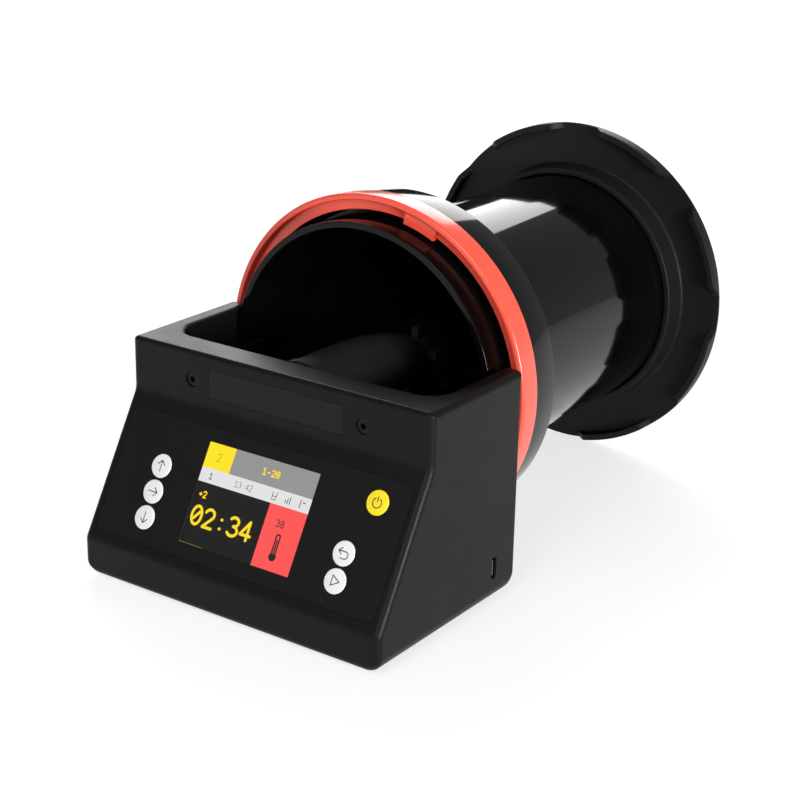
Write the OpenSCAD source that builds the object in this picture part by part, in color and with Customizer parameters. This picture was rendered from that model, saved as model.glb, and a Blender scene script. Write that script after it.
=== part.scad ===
// Automatic film processor: a drive head with a sloped control panel and an open pouring recess,
// coupled to a two-reel developing tank that lies on its side and rests on its upturned cap.
// Lengths are millimetres. X runs to the right, Y from the control panel to the cap, Z up from the table.

/* [Head] */
// Width of the recess, which the funnel fills
recess_w = 110.8; // [104:0.2:118]
// Width of the land on each side of the recess
land_w = 7.9; // [6.6:0.1:9]
// Height of the recess's lowest point above the table
recess_floor_z = 11; // [10:0.1:13]
// Height of the head's top above the tank's axis
top_rise = 14.1; // [13:0.1:17]
// Height of the upright front above the control panel
face_h = 19.2; // [18:0.1:22]
// Setback of the upright front from the foot
upper_front_y = 27; // [25:0.5:29]
// Depth of the land in front of the recess
land_d = 13.4; // [12.8:0.1:15]
// Depth of the recess
recess_d = 40.1; // [38:0.1:45]
// Height of the control panel's foot above the table
slope_foot_z = 13.9; // [13:0.1:15]
// Wall of the head's moulding
wall = 2.4; // [2:0.1:2.8]
// Gap under the head, filled by the rubber feet
foot_h = 0.8; // [0.3:0.1:1]
// Thickness of the bottom cover
cover_t = 2.2; // [1.8:0.1:2.6]
// Radius of the head's upright corners
corner_r = 2; // [1:0.1:4]
// Radius of the lower side edges
side_foot_r = 5.5; // [2:0.5:6]
// Radius of the lower rear edge
rear_foot_r = 4.5; // [2:0.5:6]
// Radius of the upper edges
top_edge_r = 1.5; // [1:0.1:2.2]
// Radius of the hollow bend above the panel
bend_r = 6; // [3:0.5:9]
// Radius of the bend at the panel's foot
foot_bend_r = 5; // [2:0.5:7]
// Radius of the recess's front corners
recess_corner_r = 9; // [4:0.5:12]

/* [Control panel] */
// Space between the control panel and the head's sides
panel_side = 3.8; // [3:0.1:6]
// Space between the control panel and the bend at its foot
panel_low = 3.9; // [3:0.1:4.5]
// Space between the control panel and the bend above it
panel_top = 5.65; // [5:0.05:7]
// Thickness of the control panel
panel_t = 0.8; // [0.5:0.1:1]
// Radius of the control panel's corners
panel_r = 2.5; // [1:0.5:4]
// Width of the screen
screen_w = 47.2; // [40:0.1:54]
// Space between the screen and the panel's lower edge
screen_below = 5; // [4:0.1:6]
// Space between the screen and the panel's upper edge
screen_above = 4.6; // [4:0.1:6]
// Diameter of a button
button_d = 8.4; // [7:0.1:8.6]
// Space between two buttons
button_space = 0.8; // [0.6:0.1:1.6]
// Height of the lowest buttons above the panel's lower edge
button_low = 8.95; // [8:0.05:10]
// Distance of the left buttons from the panel's left edge
left_inset = 19.3; // [15:0.1:21]
// Distance of the right buttons from the panel's right edge
right_inset = 18.2; // [15:0.1:21]
// Distance of the power button from the panel's right edge
power_inset = 11.9; // [10:0.1:14]
// Distance of the power button from the panel's upper edge
power_drop = 8.35; // [7:0.05:9]
// How far a button stands proud of the panel
button_proud = 0.25; // [0.1:0.05:0.6]
// Travel of a button
button_travel = 0.8; // [0.4:0.1:1]
// Width of the name plate
plate_w = 56.6; // [50:0.1:60]
// Height of the name plate
plate_h = 10.2; // [8:0.1:11]
// Thickness of the name plate
plate_t = 0.5; // [0.3:0.1:0.8]
// Distance of the name plate's middle from the head's top
plate_drop = 10.2; // [9.6:0.1:10.6]
// Space between the name plate and a front screw's middle
front_screw_out = 7.8; // [6:0.1:9]
// Diameter of a front screw's head
front_screw_d = 5; // [4.6:0.1:5.6]

/* [Power] */
// Width of the charging slot
usb_w = 3; // [2.8:0.1:3.4]
// Length of the charging slot
usb_l = 8.4; // [8:0.1:9.4]
// Distance from the head's back to the charging slot
usb_inset = 14.3; // [12:0.1:15]
// Height of the charging slot's middle above the table
usb_z = 13.5; // [12:0.1:14]
// Diameter of a battery cell
cell_d = 18.4; // [17:0.1:18.6]
// Length of a battery cell
cell_len = 48; // [40:1:48]

/* [Drive] */
// Diameter of the motor and its gearbox
motor_d = 22; // [20:0.1:23]
// Length of the motor
motor_len = 26.5; // [24:0.5:28]
// Length of the gearbox
gearbox_len = 16.5; // [14:0.5:18]
// Wall of the motor housing
nose_wall = 2.3; // [2:0.1:2.8]
// Length of the motor housing's dome before its tip is cut
dome_len = 45; // [42:0.5:47]
// Diameter of the spindle
spindle_d = 6; // [5:0.1:6.4]
// Diameter across the drive dog's wings
dog_d = 18.8; // [17:0.1:20]
// Width of a wing of the drive dog
dog_wing = 3; // [2:0.1:3.6]
// Length of the drive dog
dog_len = 9; // [7:0.5:10]

/* [Coupler] */
// Distance from the head's back to the coupler
coupler_inset = 11.2; // [10.5:0.1:12.5]
// Thickness of the coupler's flange
coupler_t = 2.8; // [2:0.1:3.2]
// Wall of the coupler's half sleeve
coupler_wall = 2.4; // [2:0.1:2.8]
// Length of the half sleeve inside the funnel
sleeve_len = 12; // [6:0.5:15]
// Thickness of the coupler's gasket
gasket_t = 1; // [0.6:0.1:1.5]

/* [Tank] */
// Wall of the funnel
funnel_wall = 2.5; // [2:0.1:2.8]
// Thickness of the seal between the funnel and the tank
seal_t = 3; // [2.6:0.1:3.4]
// Wall of the tank's rim inside the locking ring
rim_wall = 2.6; // [2.2:0.1:3]
// Length of the locking ring
ring_len = 10.2; // [9.8:0.1:12]
// Wall of the locking ring at its front
ring_wall = 2.4; // [2.2:0.1:2.8]
// Difference in radius from the ring's front to its back
ring_taper = 0.8; // [0.2:0.1:0.8]
// Angle of the upper tab inside the ring, from the right-hand side
tab_angle = 71.5; // [60:0.5:85]
// Angle that a tab spans
tab_span = 13; // [8:1:18]
// Length of the tank's collar behind the ring
collar_len = 15.4; // [14.8:0.1:18]
// Difference in radius from the ring to the collar
collar_step = 1.5; // [0.5:0.1:1.8]
// Difference in radius from the collar's front to its back
collar_taper = 1.5; // [0:0.1:1.6]
// Wall of the tank
tank_wall = 2.2; // [1.8:0.1:2.6]
// Space between the column and the throat of the funnel
throat_space = 5.5; // [5:0.1:7]
// Length of the funnel's cone
cone_len = 21.4; // [20:0.1:24]
// Length of the funnel's throat
throat_len = 10; // [8:0.5:12]
// Wall of the centre column
column_wall = 2.3; // [1.8:0.1:2.6]
// Diameter of a film reel
reel_d = 87; // [80:0.5:90]
// Length of a film reel
reel_len = 37.4; // [36:0.1:40]
// Space around the reels inside the tank
reel_space = 1.1; // [0.8:0.1:2]

/* [Cap] */
// Thickness of the cap's disc
cap_t = 2.5; // [2:0.1:3]
// Thickness of the cap's rim between the lips
cap_rim_t = 1.1; // [0.9:0.1:1.6]
// Height of the grip lip in front of the rim
lip_h = 4.3; // [3:0.1:5]
// Wall of the grip lip
lip_wall = 2.6; // [1.6:0.1:3]
// Number of gaps in the grip lip
lip_gaps = 8; // [6:1:10]
// Width of a gap at the rim
lip_gap_w = 14.5; // [6:0.5:18]
// Run of the lip's sloping end
lip_ramp = 5.7; // [1:0.1:7]
// Height of the ring that holds the tank's foot
socket_h = 7.6; // [6:0.1:9]
// Wall of the ring that holds the tank's foot
socket_wall = 2.4; // [1.8:0.1:3]

/* [Clearances] */
// Gap between pieces that move past each other
gap = 0.3; // [0.2:0.05:0.35]
// Gap between pieces that are fitted together
seat = 0.15; // [0.1:0.05:0.2]
// Radial clearance of a running shaft
running = 0.05; // [0.02:0.01:0.08]
// Gap between pieces pressed or screwed together
snug = 0.02; // [0.01:0.01:0.04]

/* [Hidden] */
round_fn = 96;
small_fn = 32;
cut = 1;

// Head shell
recess_r = recess_w / 2;
axis_z = recess_floor_z + recess_r;
half_w = recess_r + land_w;
head_w = 2 * half_w;
inner_half_w = half_w - wall;
head_h = axis_z + top_rise;
roof_z = head_h - wall;
slope_top_z = head_h - face_h;
recess_front_y = upper_front_y + land_d;
recess_wall_y = recess_front_y - wall;
head_d = recess_front_y + recess_d;
back_in_y = head_d - wall;
slope_a = atan2(upper_front_y, slope_top_z - slope_foot_z);
slope_len = norm([upper_front_y, slope_top_z - slope_foot_z]);
wall_shift = wall * tan(slope_a / 2);
cover_top_z = foot_h + cover_t;
front_foot_r = 2.5;

// Panel stack, measured along the panel's outward normal
panel_w = head_w - 2 * panel_side;
panel_high = slope_len - panel_top;
screen_low = panel_low + screen_below;
screen_high = panel_high - screen_above;
screen_r = 0.8;
display_margin = 1.2;
window_t = panel_t + 0.35;
button_pitch = button_d + button_space;
button_rows = [for (i = [0:2]) panel_low + button_low + i * button_pitch];
left_x = panel_w / 2 - left_inset;
right_x = panel_w / 2 - right_inset;
power_x = panel_w / 2 - power_inset;
power_row = panel_high - power_drop;
button_hole_r = button_d / 2 + seat;
button_slot_r = button_d / 2 + 0.4;
button_bar_top = -wall - gap;
button_bar_t = 0.7;
button_bar_x = button_slot_r + 1.1;
button_bar_s = button_d / 3;
switch_top = button_bar_top - button_bar_t - button_travel - gap;
switch_size = 6;
switch_knob_h = 0.5;
switch_knob_r = 1.7;
switch_h = 1.5;
board_top = switch_top - switch_h;
board_t = 1.6;
board_back = board_top - board_t;
board_half_w = inner_half_w - 4.6;
board_low = panel_low - 0.7;
board_high = panel_high + 0.6;
board_screw_in = 3;
board_screw_x = board_half_w - board_screw_in;
board_screw_rows = [board_low + board_screw_in, board_high - board_screw_in];
screw_hole_r = 1.3;
board_screw_r = 2.2;
board_screw_h = 1.4;
pillar_r = 2.8;
pillar_depth = -board_top - wall - 0.4;

// Front screws and motor housing
plate_z = head_h - plate_drop;
front_screw_x = plate_w / 2 + front_screw_out;
front_screw_z = plate_z - 0.3;
front_screw_r = front_screw_d / 2;
front_shank_r = 1.5;
front_post_r = 4.2;
front_head_h = 2.6;
front_sink = 0.6;
front_key_r = 1.25;
motor_gasket_t = 0.8;
carrier_t = 3;
carrier_y0 = recess_front_y + motor_gasket_t;
carrier_y1 = carrier_y0 + carrier_t;
carrier_arm_h = 9;
front_screw_end = carrier_y1 - 0.4;
motor_r = motor_d / 2;
motor_bore_r = motor_r + gap;
nose_r = motor_bore_r + nose_wall;
carrier_flange_r = nose_r + 0.5;
motor_tail_r = 3;
motor_tail_len = 1.2;
motor_y0 = upper_front_y + wall + motor_tail_len + 0.4;
gearbox_y0 = motor_y0 + motor_len;
gearbox_y1 = gearbox_y0 + gearbox_len;
nose_straight_y = gearbox_y1 - gearbox_len / 2;
spindle_r = spindle_d / 2;
spindle_y0 = gearbox_y1 - 3.5;
seal_r = spindle_r + 1.9;
seal_len = 3;
tip_r = seal_r + 1.5;
tip_y = nose_straight_y + dome_len * sqrt(1 - pow(tip_r / nose_r, 2));
seal_y0 = tip_y - seal_len - 1;
bush_r = spindle_r + 2;
bush_len = 8;
bush_y1 = seal_y0 - 2;
dog_y0 = tip_y + 2.4;
dog_y1 = dog_y0 + dog_len;
dog_hub_r = spindle_r + 2.4;
dog_slot = dog_wing + 2.4;

// Coupler between the head and the funnel
funnel_r = recess_r - gap;
funnel_bore_r = funnel_r - funnel_wall;
sleeve_r = funnel_bore_r - 0.4;
coupler_bore_r = sleeve_r - coupler_wall;
coupler_r = recess_r - seat;
coupler_y = head_d - coupler_inset;
coupler_back = coupler_y + coupler_t;
coupler_top_z = axis_z + 1;
coupler_lug_len = 5;
coupler_lug_y = coupler_y - coupler_lug_len;
coupler_lug_angles = [200, 270, 340];
coupler_lug_span = 12;
coupler_screw_r = 1.5;
coupler_head_r = 2.5;
coupler_head_h = 2;
coupler_screw_end = coupler_back - 0.6;
coupler_screw_ring = (coupler_bore_r + coupler_r) / 2;
funnel_y0 = coupler_back + gasket_t + gap;

// Base fittings
cell_r = cell_d / 2;
cell_x = inner_half_w - gap - cell_r;
cell_y0 = 15.5;
cell_z = cover_top_z + gap + cell_r;
cell_stop_t = 1.3;
cell_stop_w = cell_r / 2;
post_r = 3;
post_hole_r = 1.25;
usb_y = head_d - usb_inset;
usb_depth = 8.6;
usb_sink = 0.2;
usb_shell_t = 0.35;
usb_tongue_t = 0.7;
usb_tongue_in = 1.1;
power_board_t = 1.2;
power_board_y = usb_y + usb_w / 2;
power_board_in = 29;
power_board_x0 = half_w - power_board_in;
power_board_top = usb_z + usb_l / 2 + 1;
rear_post_x = power_board_x0 - 5;
rear_post_in = 8.5;
rear_post_y = head_d - rear_post_in;
rear_post_z = axis_z - sqrt(pow(recess_r + wall / 2, 2) - pow(rear_post_x, 2));
post_places = [[cell_x, wall + post_r - 0.2, slope_foot_z - 1], [rear_post_x, rear_post_y, rear_post_z]];
posts = [for (side = [-1, 1], p = post_places) [side * p[0], p[1], p[2]]];
cover_head_r = 2.6;
cover_head_h = 1.2;
cover_screw_len = 8;
foot_r = 5;
foot_top_z = foot_h + 1;
foot_in = 14;
foot_front_y = foot_in + 1;
foot_rear_y = head_d - foot_in - 0.5;
foot_places = [for (x = [-1, 1], y = [foot_front_y, foot_rear_y]) [x * (half_w - foot_in), y]];
ribbon_w = 5;
ribbon_t = 0.5;
ribbon_x = power_board_x0 + 0.6 * ribbon_w;
ribbon_y0 = 10.5;
ribbon_top = slope_foot_z - 1.5;
probe_r = 2;
probe_z = axis_z - 26.4;
probe_len = 20;
probe_nut_r = 4.2;
probe_nut_t = 2.6;
probe_flange_t = 1.2;

// Mouth of the tank
collar_bore_r = funnel_r + seal_t + 0.1;
rim_r = collar_bore_r + rim_wall;
ring_bore_r = rim_r + gap;
ring_r = ring_bore_r + ring_wall;
ring_y0 = head_d + gap;
ring_y1 = ring_y0 + ring_len;
ring_edge_r = 1.1;
ring_back_r = 0.5;
flange_r = collar_bore_r - 0.9;
flange_in = 3;
tab_r = flange_r - 1.7;
tab_in = 1.2;
tab_t = 4;
tab_angles = [for (i = [0:2]) tab_angle + i * 120];
lug_y0 = ring_y0 + tab_t + gap;
lug_t = 1.6;
lug_r = flange_r - gap;
rim_y0 = lug_y0 + lug_t + gap;
rib_r = rim_r + 0.5;
rib_y = rim_y0 + 1.6;
rib_w = 1.2;
collar_r = ring_r - collar_step;
collar_back_r = collar_r - collar_taper;
collar_y0 = ring_y1 + gap;
collar_y1 = collar_y0 + collar_len;
shoulder_t = 2.4;
shoulder_y = collar_y1 - shoulder_t;
edge_bevel = 1.5;
seal_mid_y = collar_y0 + 2.8;
seal_rib_w = 0.8;

// Funnel, column and reels
reel_r = reel_d / 2;
body_bore_r = reel_r + reel_space;
body_r = body_bore_r + tank_wall;
column_bore_r = dog_d / 2 + 0.8;
column_r = column_bore_r + column_wall;
column_y0 = dog_y0 + 2;
socket_end_y = column_y0 + dog_len + 0.5;
throat_r = column_r + throat_space;
floor_y = shoulder_y - gap - funnel_wall;
floor_r = min(body_bore_r - 2.6, funnel_bore_r - 10);
floor_fall = 0.8;
funnel_fillet = 4;
throat_fillet = 2;
throat_y = floor_y + cone_len;
throat_end_y = throat_y + throat_len;
clip_t = 1.8;
clip_space = 4.2;
clip_r = throat_r + 5;
clip_y0 = throat_end_y + clip_space;
reel_a_y0 = clip_y0 + clip_t + gap;
reel_b_y0 = reel_a_y0 + reel_len + gap;
reel_flange_t = 2.2;
reel_hub_r = column_r + gap;
reel_hub_wall = 2.5;
reel_hub_in = 2;
reel_groove = 0.8;
reel_groove_pitch = 3.2;
reel_groove_start = 7;
column_foot_t = 2.2;
column_foot_r = column_r + 9.5;
column_y1 = reel_b_y0 + reel_len + gap + column_foot_t;
pivot_r = column_bore_r - gap;
pivot_h = 5;
base_in_y = column_y1 + gap;
base_t = 2.4;
body_y1 = base_in_y + base_t;

// Cap, whose rim stands on the table
cap_r = axis_z;
cap_y0 = body_y1 + gap;
cap_y1 = cap_y0 + cap_t;
cap_edge = 0.6;
cap_dish = 0.8;
cap_rim_y = cap_y1 - cap_rim_t;
socket_r = body_r + 0.2;
overall_len = cap_y1;

// Points of a fillet of radius r at corner b, between its neighbours a and c
function unit(v) = v / norm(v);
function turn(a, b) = (b - a + 540) % 360 - 180;
function fillet(a, b, c, r, n = 8) =
    let(u = unit(a - b), v = unit(c - b), half = acos(u * v) / 2,
        hub = b + unit(u + v) * r / sin(half),
        from = b + u * r / tan(half) - hub, to = b + v * r / tan(half) - hub,
        start = atan2(from[1], from[0]), sweep = turn(start, atan2(to[1], to[0])))
    [for (i = [0:n]) hub + r * [cos(start + sweep * i / n), sin(start + sweep * i / n)]];
// An outline whose corners are [x, y, radius]
function rounded(corners) =
    [for (i = [0:len(corners) - 1])
        let(m = len(corners), p = corners[(i + m - 1) % m], q = corners[i], s = corners[(i + 1) % m])
        each q[2] == 0 ? [[q[0], q[1]]] : fillet([p[0], p[1]], [q[0], q[1]], [s[0], s[1]], q[2])];

module place() translate([0, -overall_len / 2, 0]) children();
// Revolves an outline of [radius, y] about the tank's axis
module revolve(outline)
    translate([0, 0, axis_z]) rotate([-90, 0, 0]) rotate_extrude($fn = round_fn) polygon(outline);
module tube(r0, r1, y0, y1) revolve([[r0, y0], [r1, y0], [r1, y1], [r0, y1]]);
// A block of a ring, centred on an angle measured from the right-hand side upwards
module ring_block(r0, r1, y0, y1, mid, span)
    translate([0, 0, axis_z]) rotate([-90, 0, 0]) rotate([0, 0, -mid - span / 2])
        rotate_extrude(angle = span, $fn = round_fn) translate([r0, y0]) square([r1 - r0, y1 - y0]);
// A cylinder along Y
module rod(x, z, r, y0, y1, fn = small_fn)
    translate([x, y0, z]) rotate([-90, 0, 0]) cylinder(r = r, h = y1 - y0, $fn = fn);
module box(low, high) translate(low) cube(high - low);
// A side outline of [y, z] points, as wide as x0 to x1
module side_slab(outline, x0, x1)
    translate([x0, 0, 0]) rotate([90, 0, 90]) linear_extrude(x1 - x0) polygon(outline);
module rounded_square(w, h, r) {
    square([w - 2 * r, h], center = true);
    square([w, h - 2 * r], center = true);
    for (x = [-1, 1], y = [-1, 1]) translate([x * (w / 2 - r), y * (h / 2 - r)]) circle(r, $fn = small_fn);
}
// The panel's own frame: x across, y up the slope, z along the outward normal
module on_panel() translate([0, 0, slope_foot_z]) rotate([90 - slope_a, 0, 0]) children();
module panel_block(w, s0, s1, t0, t1, r)
    translate([0, (s0 + s1) / 2, t0]) linear_extrude(t1 - t0) rounded_square(w, s1 - s0, r);
// The U-shaped space of the recess, with its flat sides above the tank's axis
module trough(r, y0, y1, top) {
    rod(0, axis_z, r, y0, y1, round_fn);
    box([-r, y0, axis_z], [r, y1, top]);
}

module head_outline() {
    outline = rounded([[0, foot_h, front_foot_r], [head_d, foot_h, rear_foot_r],
        [head_d, head_h, top_edge_r], [upper_front_y, head_h, top_edge_r],
        [upper_front_y, slope_top_z, bend_r], [0, slope_foot_z, foot_bend_r]]);
    front = rounded([[-half_w, foot_h, side_foot_r], [half_w, foot_h, side_foot_r],
        [half_w, head_h, top_edge_r], [-half_w, head_h, top_edge_r]]);
    intersection() {
        side_slab(outline, -half_w, half_w);
        translate([0, head_d, 0]) rotate([90, 0, 0]) linear_extrude(head_d) polygon(front);
        translate([0, head_d / 2, 0]) linear_extrude(head_h + cut) rounded_square(head_w, head_d, corner_r);
    }
}
module head_hollow() {
    outline = rounded([[wall, -cut, 0], [back_in_y, -cut, 0], [back_in_y, roof_z, 0],
        [upper_front_y + wall, roof_z, 0], [upper_front_y + wall, slope_top_z - wall_shift, bend_r - wall],
        [wall, slope_foot_z - wall_shift, 0]]);
    side_slab(outline, -inner_half_w, inner_half_w);
}
module button_slots() {
    runs = [[-left_x, button_rows[0], button_rows[2]], [right_x, button_rows[0], button_rows[1]],
        [power_x, power_row, power_row]];
    for (run = runs)
        translate([run[0], 0, -wall - cut]) linear_extrude(wall + 2 * cut) {
            translate([0, run[1]]) circle(button_slot_r, $fn = small_fn);
            translate([0, run[2]]) circle(button_slot_r, $fn = small_fn);
            if (run[2] > run[1])
                translate([-button_slot_r, run[1]]) square([2 * button_slot_r, run[2] - run[1]]);
        }
}
module usb_slot(extra, x0, x1)
    translate([x0, usb_y, usb_z]) rotate([90, 0, 90]) linear_extrude(x1 - x0)
        rounded_square(usb_w + 2 * extra, usb_l + 2 * extra, (usb_w + 2 * extra) / 2 - 0.05);
module recess_cut() {
    corner = recess_r - recess_corner_r;
    difference() {
        trough(recess_r, recess_front_y, head_d + cut, head_h + cut);
        for (side = [0, 1]) mirror([side, 0, 0])
            translate([corner, recess_front_y + recess_corner_r, axis_z]) difference() {
                box([0, -recess_corner_r - cut, 0], [recess_corner_r + cut, 0, head_h]);
                translate([0, 0, -cut])
                    cylinder(r = recess_corner_r, h = head_h + 2 * cut, $fn = small_fn * 2);
            }
    }
}
// Bosses inside the head: board pillars, front screw tubes and cover posts
module head_bosses() {
    on_panel() for (x = [-1, 1], s = board_screw_rows)
        translate([x * board_screw_x, s, board_top])
            cylinder(r = pillar_r, h = -board_top - wall / 2, $fn = small_fn);
    for (side = [-1, 1])
        rod(side * front_screw_x, front_screw_z, front_post_r, upper_front_y + wall / 2,
            recess_front_y - wall / 2);
    for (p = posts) {
        foot = cover_top_z + snug;
        translate([p[0], p[1], foot]) cylinder(r = post_r, h = p[2] - foot, $fn = small_fn);
    }
}

module housing() color("#222222") place() difference() {
    union() {
        difference() {
            head_outline();
            head_hollow();
        }
        intersection() {
            head_outline();
            union() {
                trough(recess_r + wall, recess_wall_y, head_d, head_h);
                head_bosses();
            }
        }
    }
    difference() {
        recess_cut();
        for (a = coupler_lug_angles)
            ring_block(coupler_bore_r, recess_r + cut, coupler_lug_y, coupler_y, a, coupler_lug_span);
    }
    for (a = coupler_lug_angles)
        coupler_hole(a, coupler_screw_r + seat, coupler_lug_y - cut, coupler_y + cut);
    on_panel() {
        panel_block(panel_w + 2 * seat, panel_low - seat, panel_high + seat, -panel_t, cut, panel_r + seat);
        panel_block(screen_w + 2 * display_margin + 2 * seat, screen_low - display_margin - seat,
            screen_high + display_margin + seat, -wall - cut, cut, screen_r + seat);
        button_slots();
        for (x = [-1, 1], s = board_screw_rows)
            translate([x * board_screw_x, s, board_top - cut])
                cylinder(r = screw_hole_r - seat, h = pillar_depth + cut, $fn = small_fn);
    }
    box([-plate_w / 2 - seat, upper_front_y - cut, plate_z - plate_h / 2 - seat],
        [plate_w / 2 + seat, upper_front_y + plate_t + snug, plate_z + plate_h / 2 + seat]);
    for (side = [-1, 1]) {
        rod(side * front_screw_x, front_screw_z, front_shank_r + seat, upper_front_y - cut,
            recess_front_y + cut);
        rod(side * front_screw_x, front_screw_z, front_screw_r + seat, upper_front_y - cut,
            upper_front_y + front_sink + front_head_h);
    }
    rod(0, axis_z, motor_bore_r, recess_wall_y - cut, recess_front_y + cut, round_fn);
    rod(0, probe_z, probe_r + seat, recess_wall_y - cut, recess_front_y + cut);
    usb_slot(0.1, inner_half_w - cut, half_w + cut);
    for (p = posts) translate([p[0], p[1], 0]) cylinder(r = post_hole_r, h = slope_foot_z, $fn = small_fn);
}

module bottom_cover() color("#1E1E1E") place() difference() {
    half = inner_half_w - gap;
    union() {
        intersection() {
            head_outline();
            box([-half, wall + gap, foot_h], [half, back_in_y - gap, cover_top_z]);
        }
        for (side = [-1, 1], y = [cell_y0 - gap - cell_stop_t, cell_y0 + cell_len + gap])
            box([side * cell_x - cell_stop_w / 2, y, foot_h + cover_t / 2],
                [side * cell_x + cell_stop_w / 2, y + cell_stop_t, cell_z]);
    }
    for (p = posts) translate([p[0], p[1], 0]) {
        cylinder(r = screw_hole_r + seat, h = slope_foot_z, $fn = small_fn);
        cylinder(r = cover_head_r + seat, h = foot_h + cover_head_h + 0.2, $fn = small_fn);
    }
    for (p = foot_places) translate([p[0], p[1], 0])
        cylinder(r = foot_r + seat, h = foot_top_z, $fn = small_fn * 2);
}

module control_panel() color("#1F1F1F") place() on_panel() difference() {
    panel_block(panel_w, panel_low, panel_high, -panel_t, 0, panel_r);
    panel_block(screen_w, screen_low, screen_high, -panel_t - cut, cut, screen_r);
    for (p = button_places) translate([p[0], p[1], -panel_t - cut])
        cylinder(r = button_hole_r, h = panel_t + 2 * cut, $fn = small_fn * 2);
}
module screen_window() color("#101010") place() on_panel()
    panel_block(screen_w - 2 * seat, screen_low + seat, screen_high - seat, -window_t, -snug,
        screen_r - seat);
module display() color("#2A2A2E") place() on_panel()
    panel_block(screen_w + 2 * display_margin, screen_low - display_margin, screen_high + display_margin,
        board_top, -window_t - snug, screen_r);
module name_plate() color("#262626") place()
    box([-plate_w / 2, upper_front_y, plate_z - plate_h / 2],
        [plate_w / 2, upper_front_y + plate_t, plate_z + plate_h / 2]);

// Buttons: left column, power, right column
button_places = [[-left_x, button_rows[2]], [-left_x, button_rows[1]], [-left_x, button_rows[0]],
                 [power_x, power_row], [right_x, button_rows[1]], [right_x, button_rows[0]]];
module button(i) place() on_panel() translate([button_places[i][0], button_places[i][1], 0]) {
    translate([0, 0, button_bar_top - button_bar_t])
        cylinder(r = button_d / 2, h = button_proud - button_bar_top + button_bar_t, $fn = small_fn * 2);
    box([-button_bar_x, -button_bar_s, button_bar_top - button_bar_t],
        [button_bar_x, button_bar_s, button_bar_top]);
}
module button_up() color("#E8E8E8") button(0);
module button_right() color("#E8E8E8") button(1);
module button_down() color("#E8E8E8") button(2);
module button_power() color("#FFE62D") button(3);
module button_back() color("#E8E8E8") button(4);
module button_start() color("#E8E8E8") button(5);
module key_switches() color("#3A3A3A") place() on_panel() for (p = button_places)
    translate([p[0], p[1], board_top]) {
        linear_extrude(switch_top - switch_knob_h - board_top) square(switch_size, center = true);
        cylinder(r = switch_knob_r, h = switch_top - board_top, $fn = small_fn);
    }
module panel_board() color("#1F5E3A") place() on_panel() difference() {
    panel_block(2 * board_half_w, board_low, board_high, board_back, board_top, 1);
    for (x = [-1, 1], s = board_screw_rows) translate([x * board_screw_x, s, board_back - cut])
        cylinder(r = screw_hole_r, h = board_t + 2 * cut, $fn = small_fn);
}
module board_screws() color("silver") place() on_panel() for (x = [-1, 1], s = board_screw_rows)
    translate([x * board_screw_x, s, board_back]) {
        translate([0, 0, -board_screw_h]) cylinder(r = board_screw_r, h = board_screw_h, $fn = small_fn);
        cylinder(r = screw_hole_r - seat - snug, h = board_t + pillar_depth - gap, $fn = small_fn);
    }
module front_screws() color("#151515") place() for (side = [-1, 1]) difference() {
    y = upper_front_y + front_sink;
    union() {
        rod(side * front_screw_x, front_screw_z, front_screw_r, y, y + front_head_h);
        rod(side * front_screw_x, front_screw_z, front_shank_r, y, front_screw_end);
    }
    rod(side * front_screw_x, front_screw_z, front_key_r, y - cut, y + front_head_h / 2, 6);
}

// Motor housing in the recess, with arms that take the front screws
module motor_housing() color("#242424") place() difference() {
    union() {
        revolve(concat([[0, carrier_y0], [carrier_flange_r, carrier_y0], [carrier_flange_r, carrier_y1],
            [nose_r, carrier_y1]],
            [for (i = [0:14]) let(y = nose_straight_y + (tip_y - nose_straight_y) * sin(90 * i / 14))
                [nose_r * sqrt(1 - pow((y - nose_straight_y) / dome_len, 2)), y]], [[0, tip_y]]));
        box([-front_screw_x, carrier_y0, front_screw_z - carrier_arm_h / 2],
            [front_screw_x, carrier_y1, front_screw_z + carrier_arm_h / 2]);
        for (side = [-1, 1])
            rod(side * front_screw_x, front_screw_z, carrier_arm_h / 2, carrier_y0, carrier_y1);
    }
    rod(0, axis_z, motor_bore_r, carrier_y0 - cut, gearbox_y1 + gap, round_fn);
    rod(0, axis_z, bush_r + snug, gearbox_y1, bush_y1, small_fn * 2);
    rod(0, axis_z, spindle_r + gap, gearbox_y1, tip_y + cut, small_fn * 2);
    rod(0, axis_z, seal_r + snug, seal_y0, tip_y + cut, small_fn * 2);
    for (side = [-1, 1])
        rod(side * front_screw_x, front_screw_z, front_shank_r + snug, carrier_y0 - cut,
            front_screw_end + snug);
}
module motor_gasket() color("#101010") place()
    tube(motor_bore_r + 0.7, carrier_flange_r - 1, recess_front_y, carrier_y0);
module motor() color("silver") place() {
    rod(0, axis_z, motor_r, motor_y0, gearbox_y0, round_fn);
    rod(0, axis_z, motor_tail_r, motor_y0 - motor_tail_len, motor_y0);
}
module gearbox() color("#B0B0A8") place() difference() {
    rod(0, axis_z, motor_r, gearbox_y0, gearbox_y1, round_fn);
    rod(0, axis_z, spindle_r + running, spindle_y0 - gap, gearbox_y1 + cut, small_fn * 2);
}
module spindle_bush() color("#C9A24A") place()
    tube(spindle_r + running, bush_r, bush_y1 - bush_len, bush_y1);
module shaft_seal() color("#151515") place() tube(spindle_r + running, seal_r, seal_y0, seal_y0 + seal_len);
module spindle() color("silver") place() rod(0, axis_z, spindle_r, spindle_y0, dog_y1, small_fn * 2);
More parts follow.
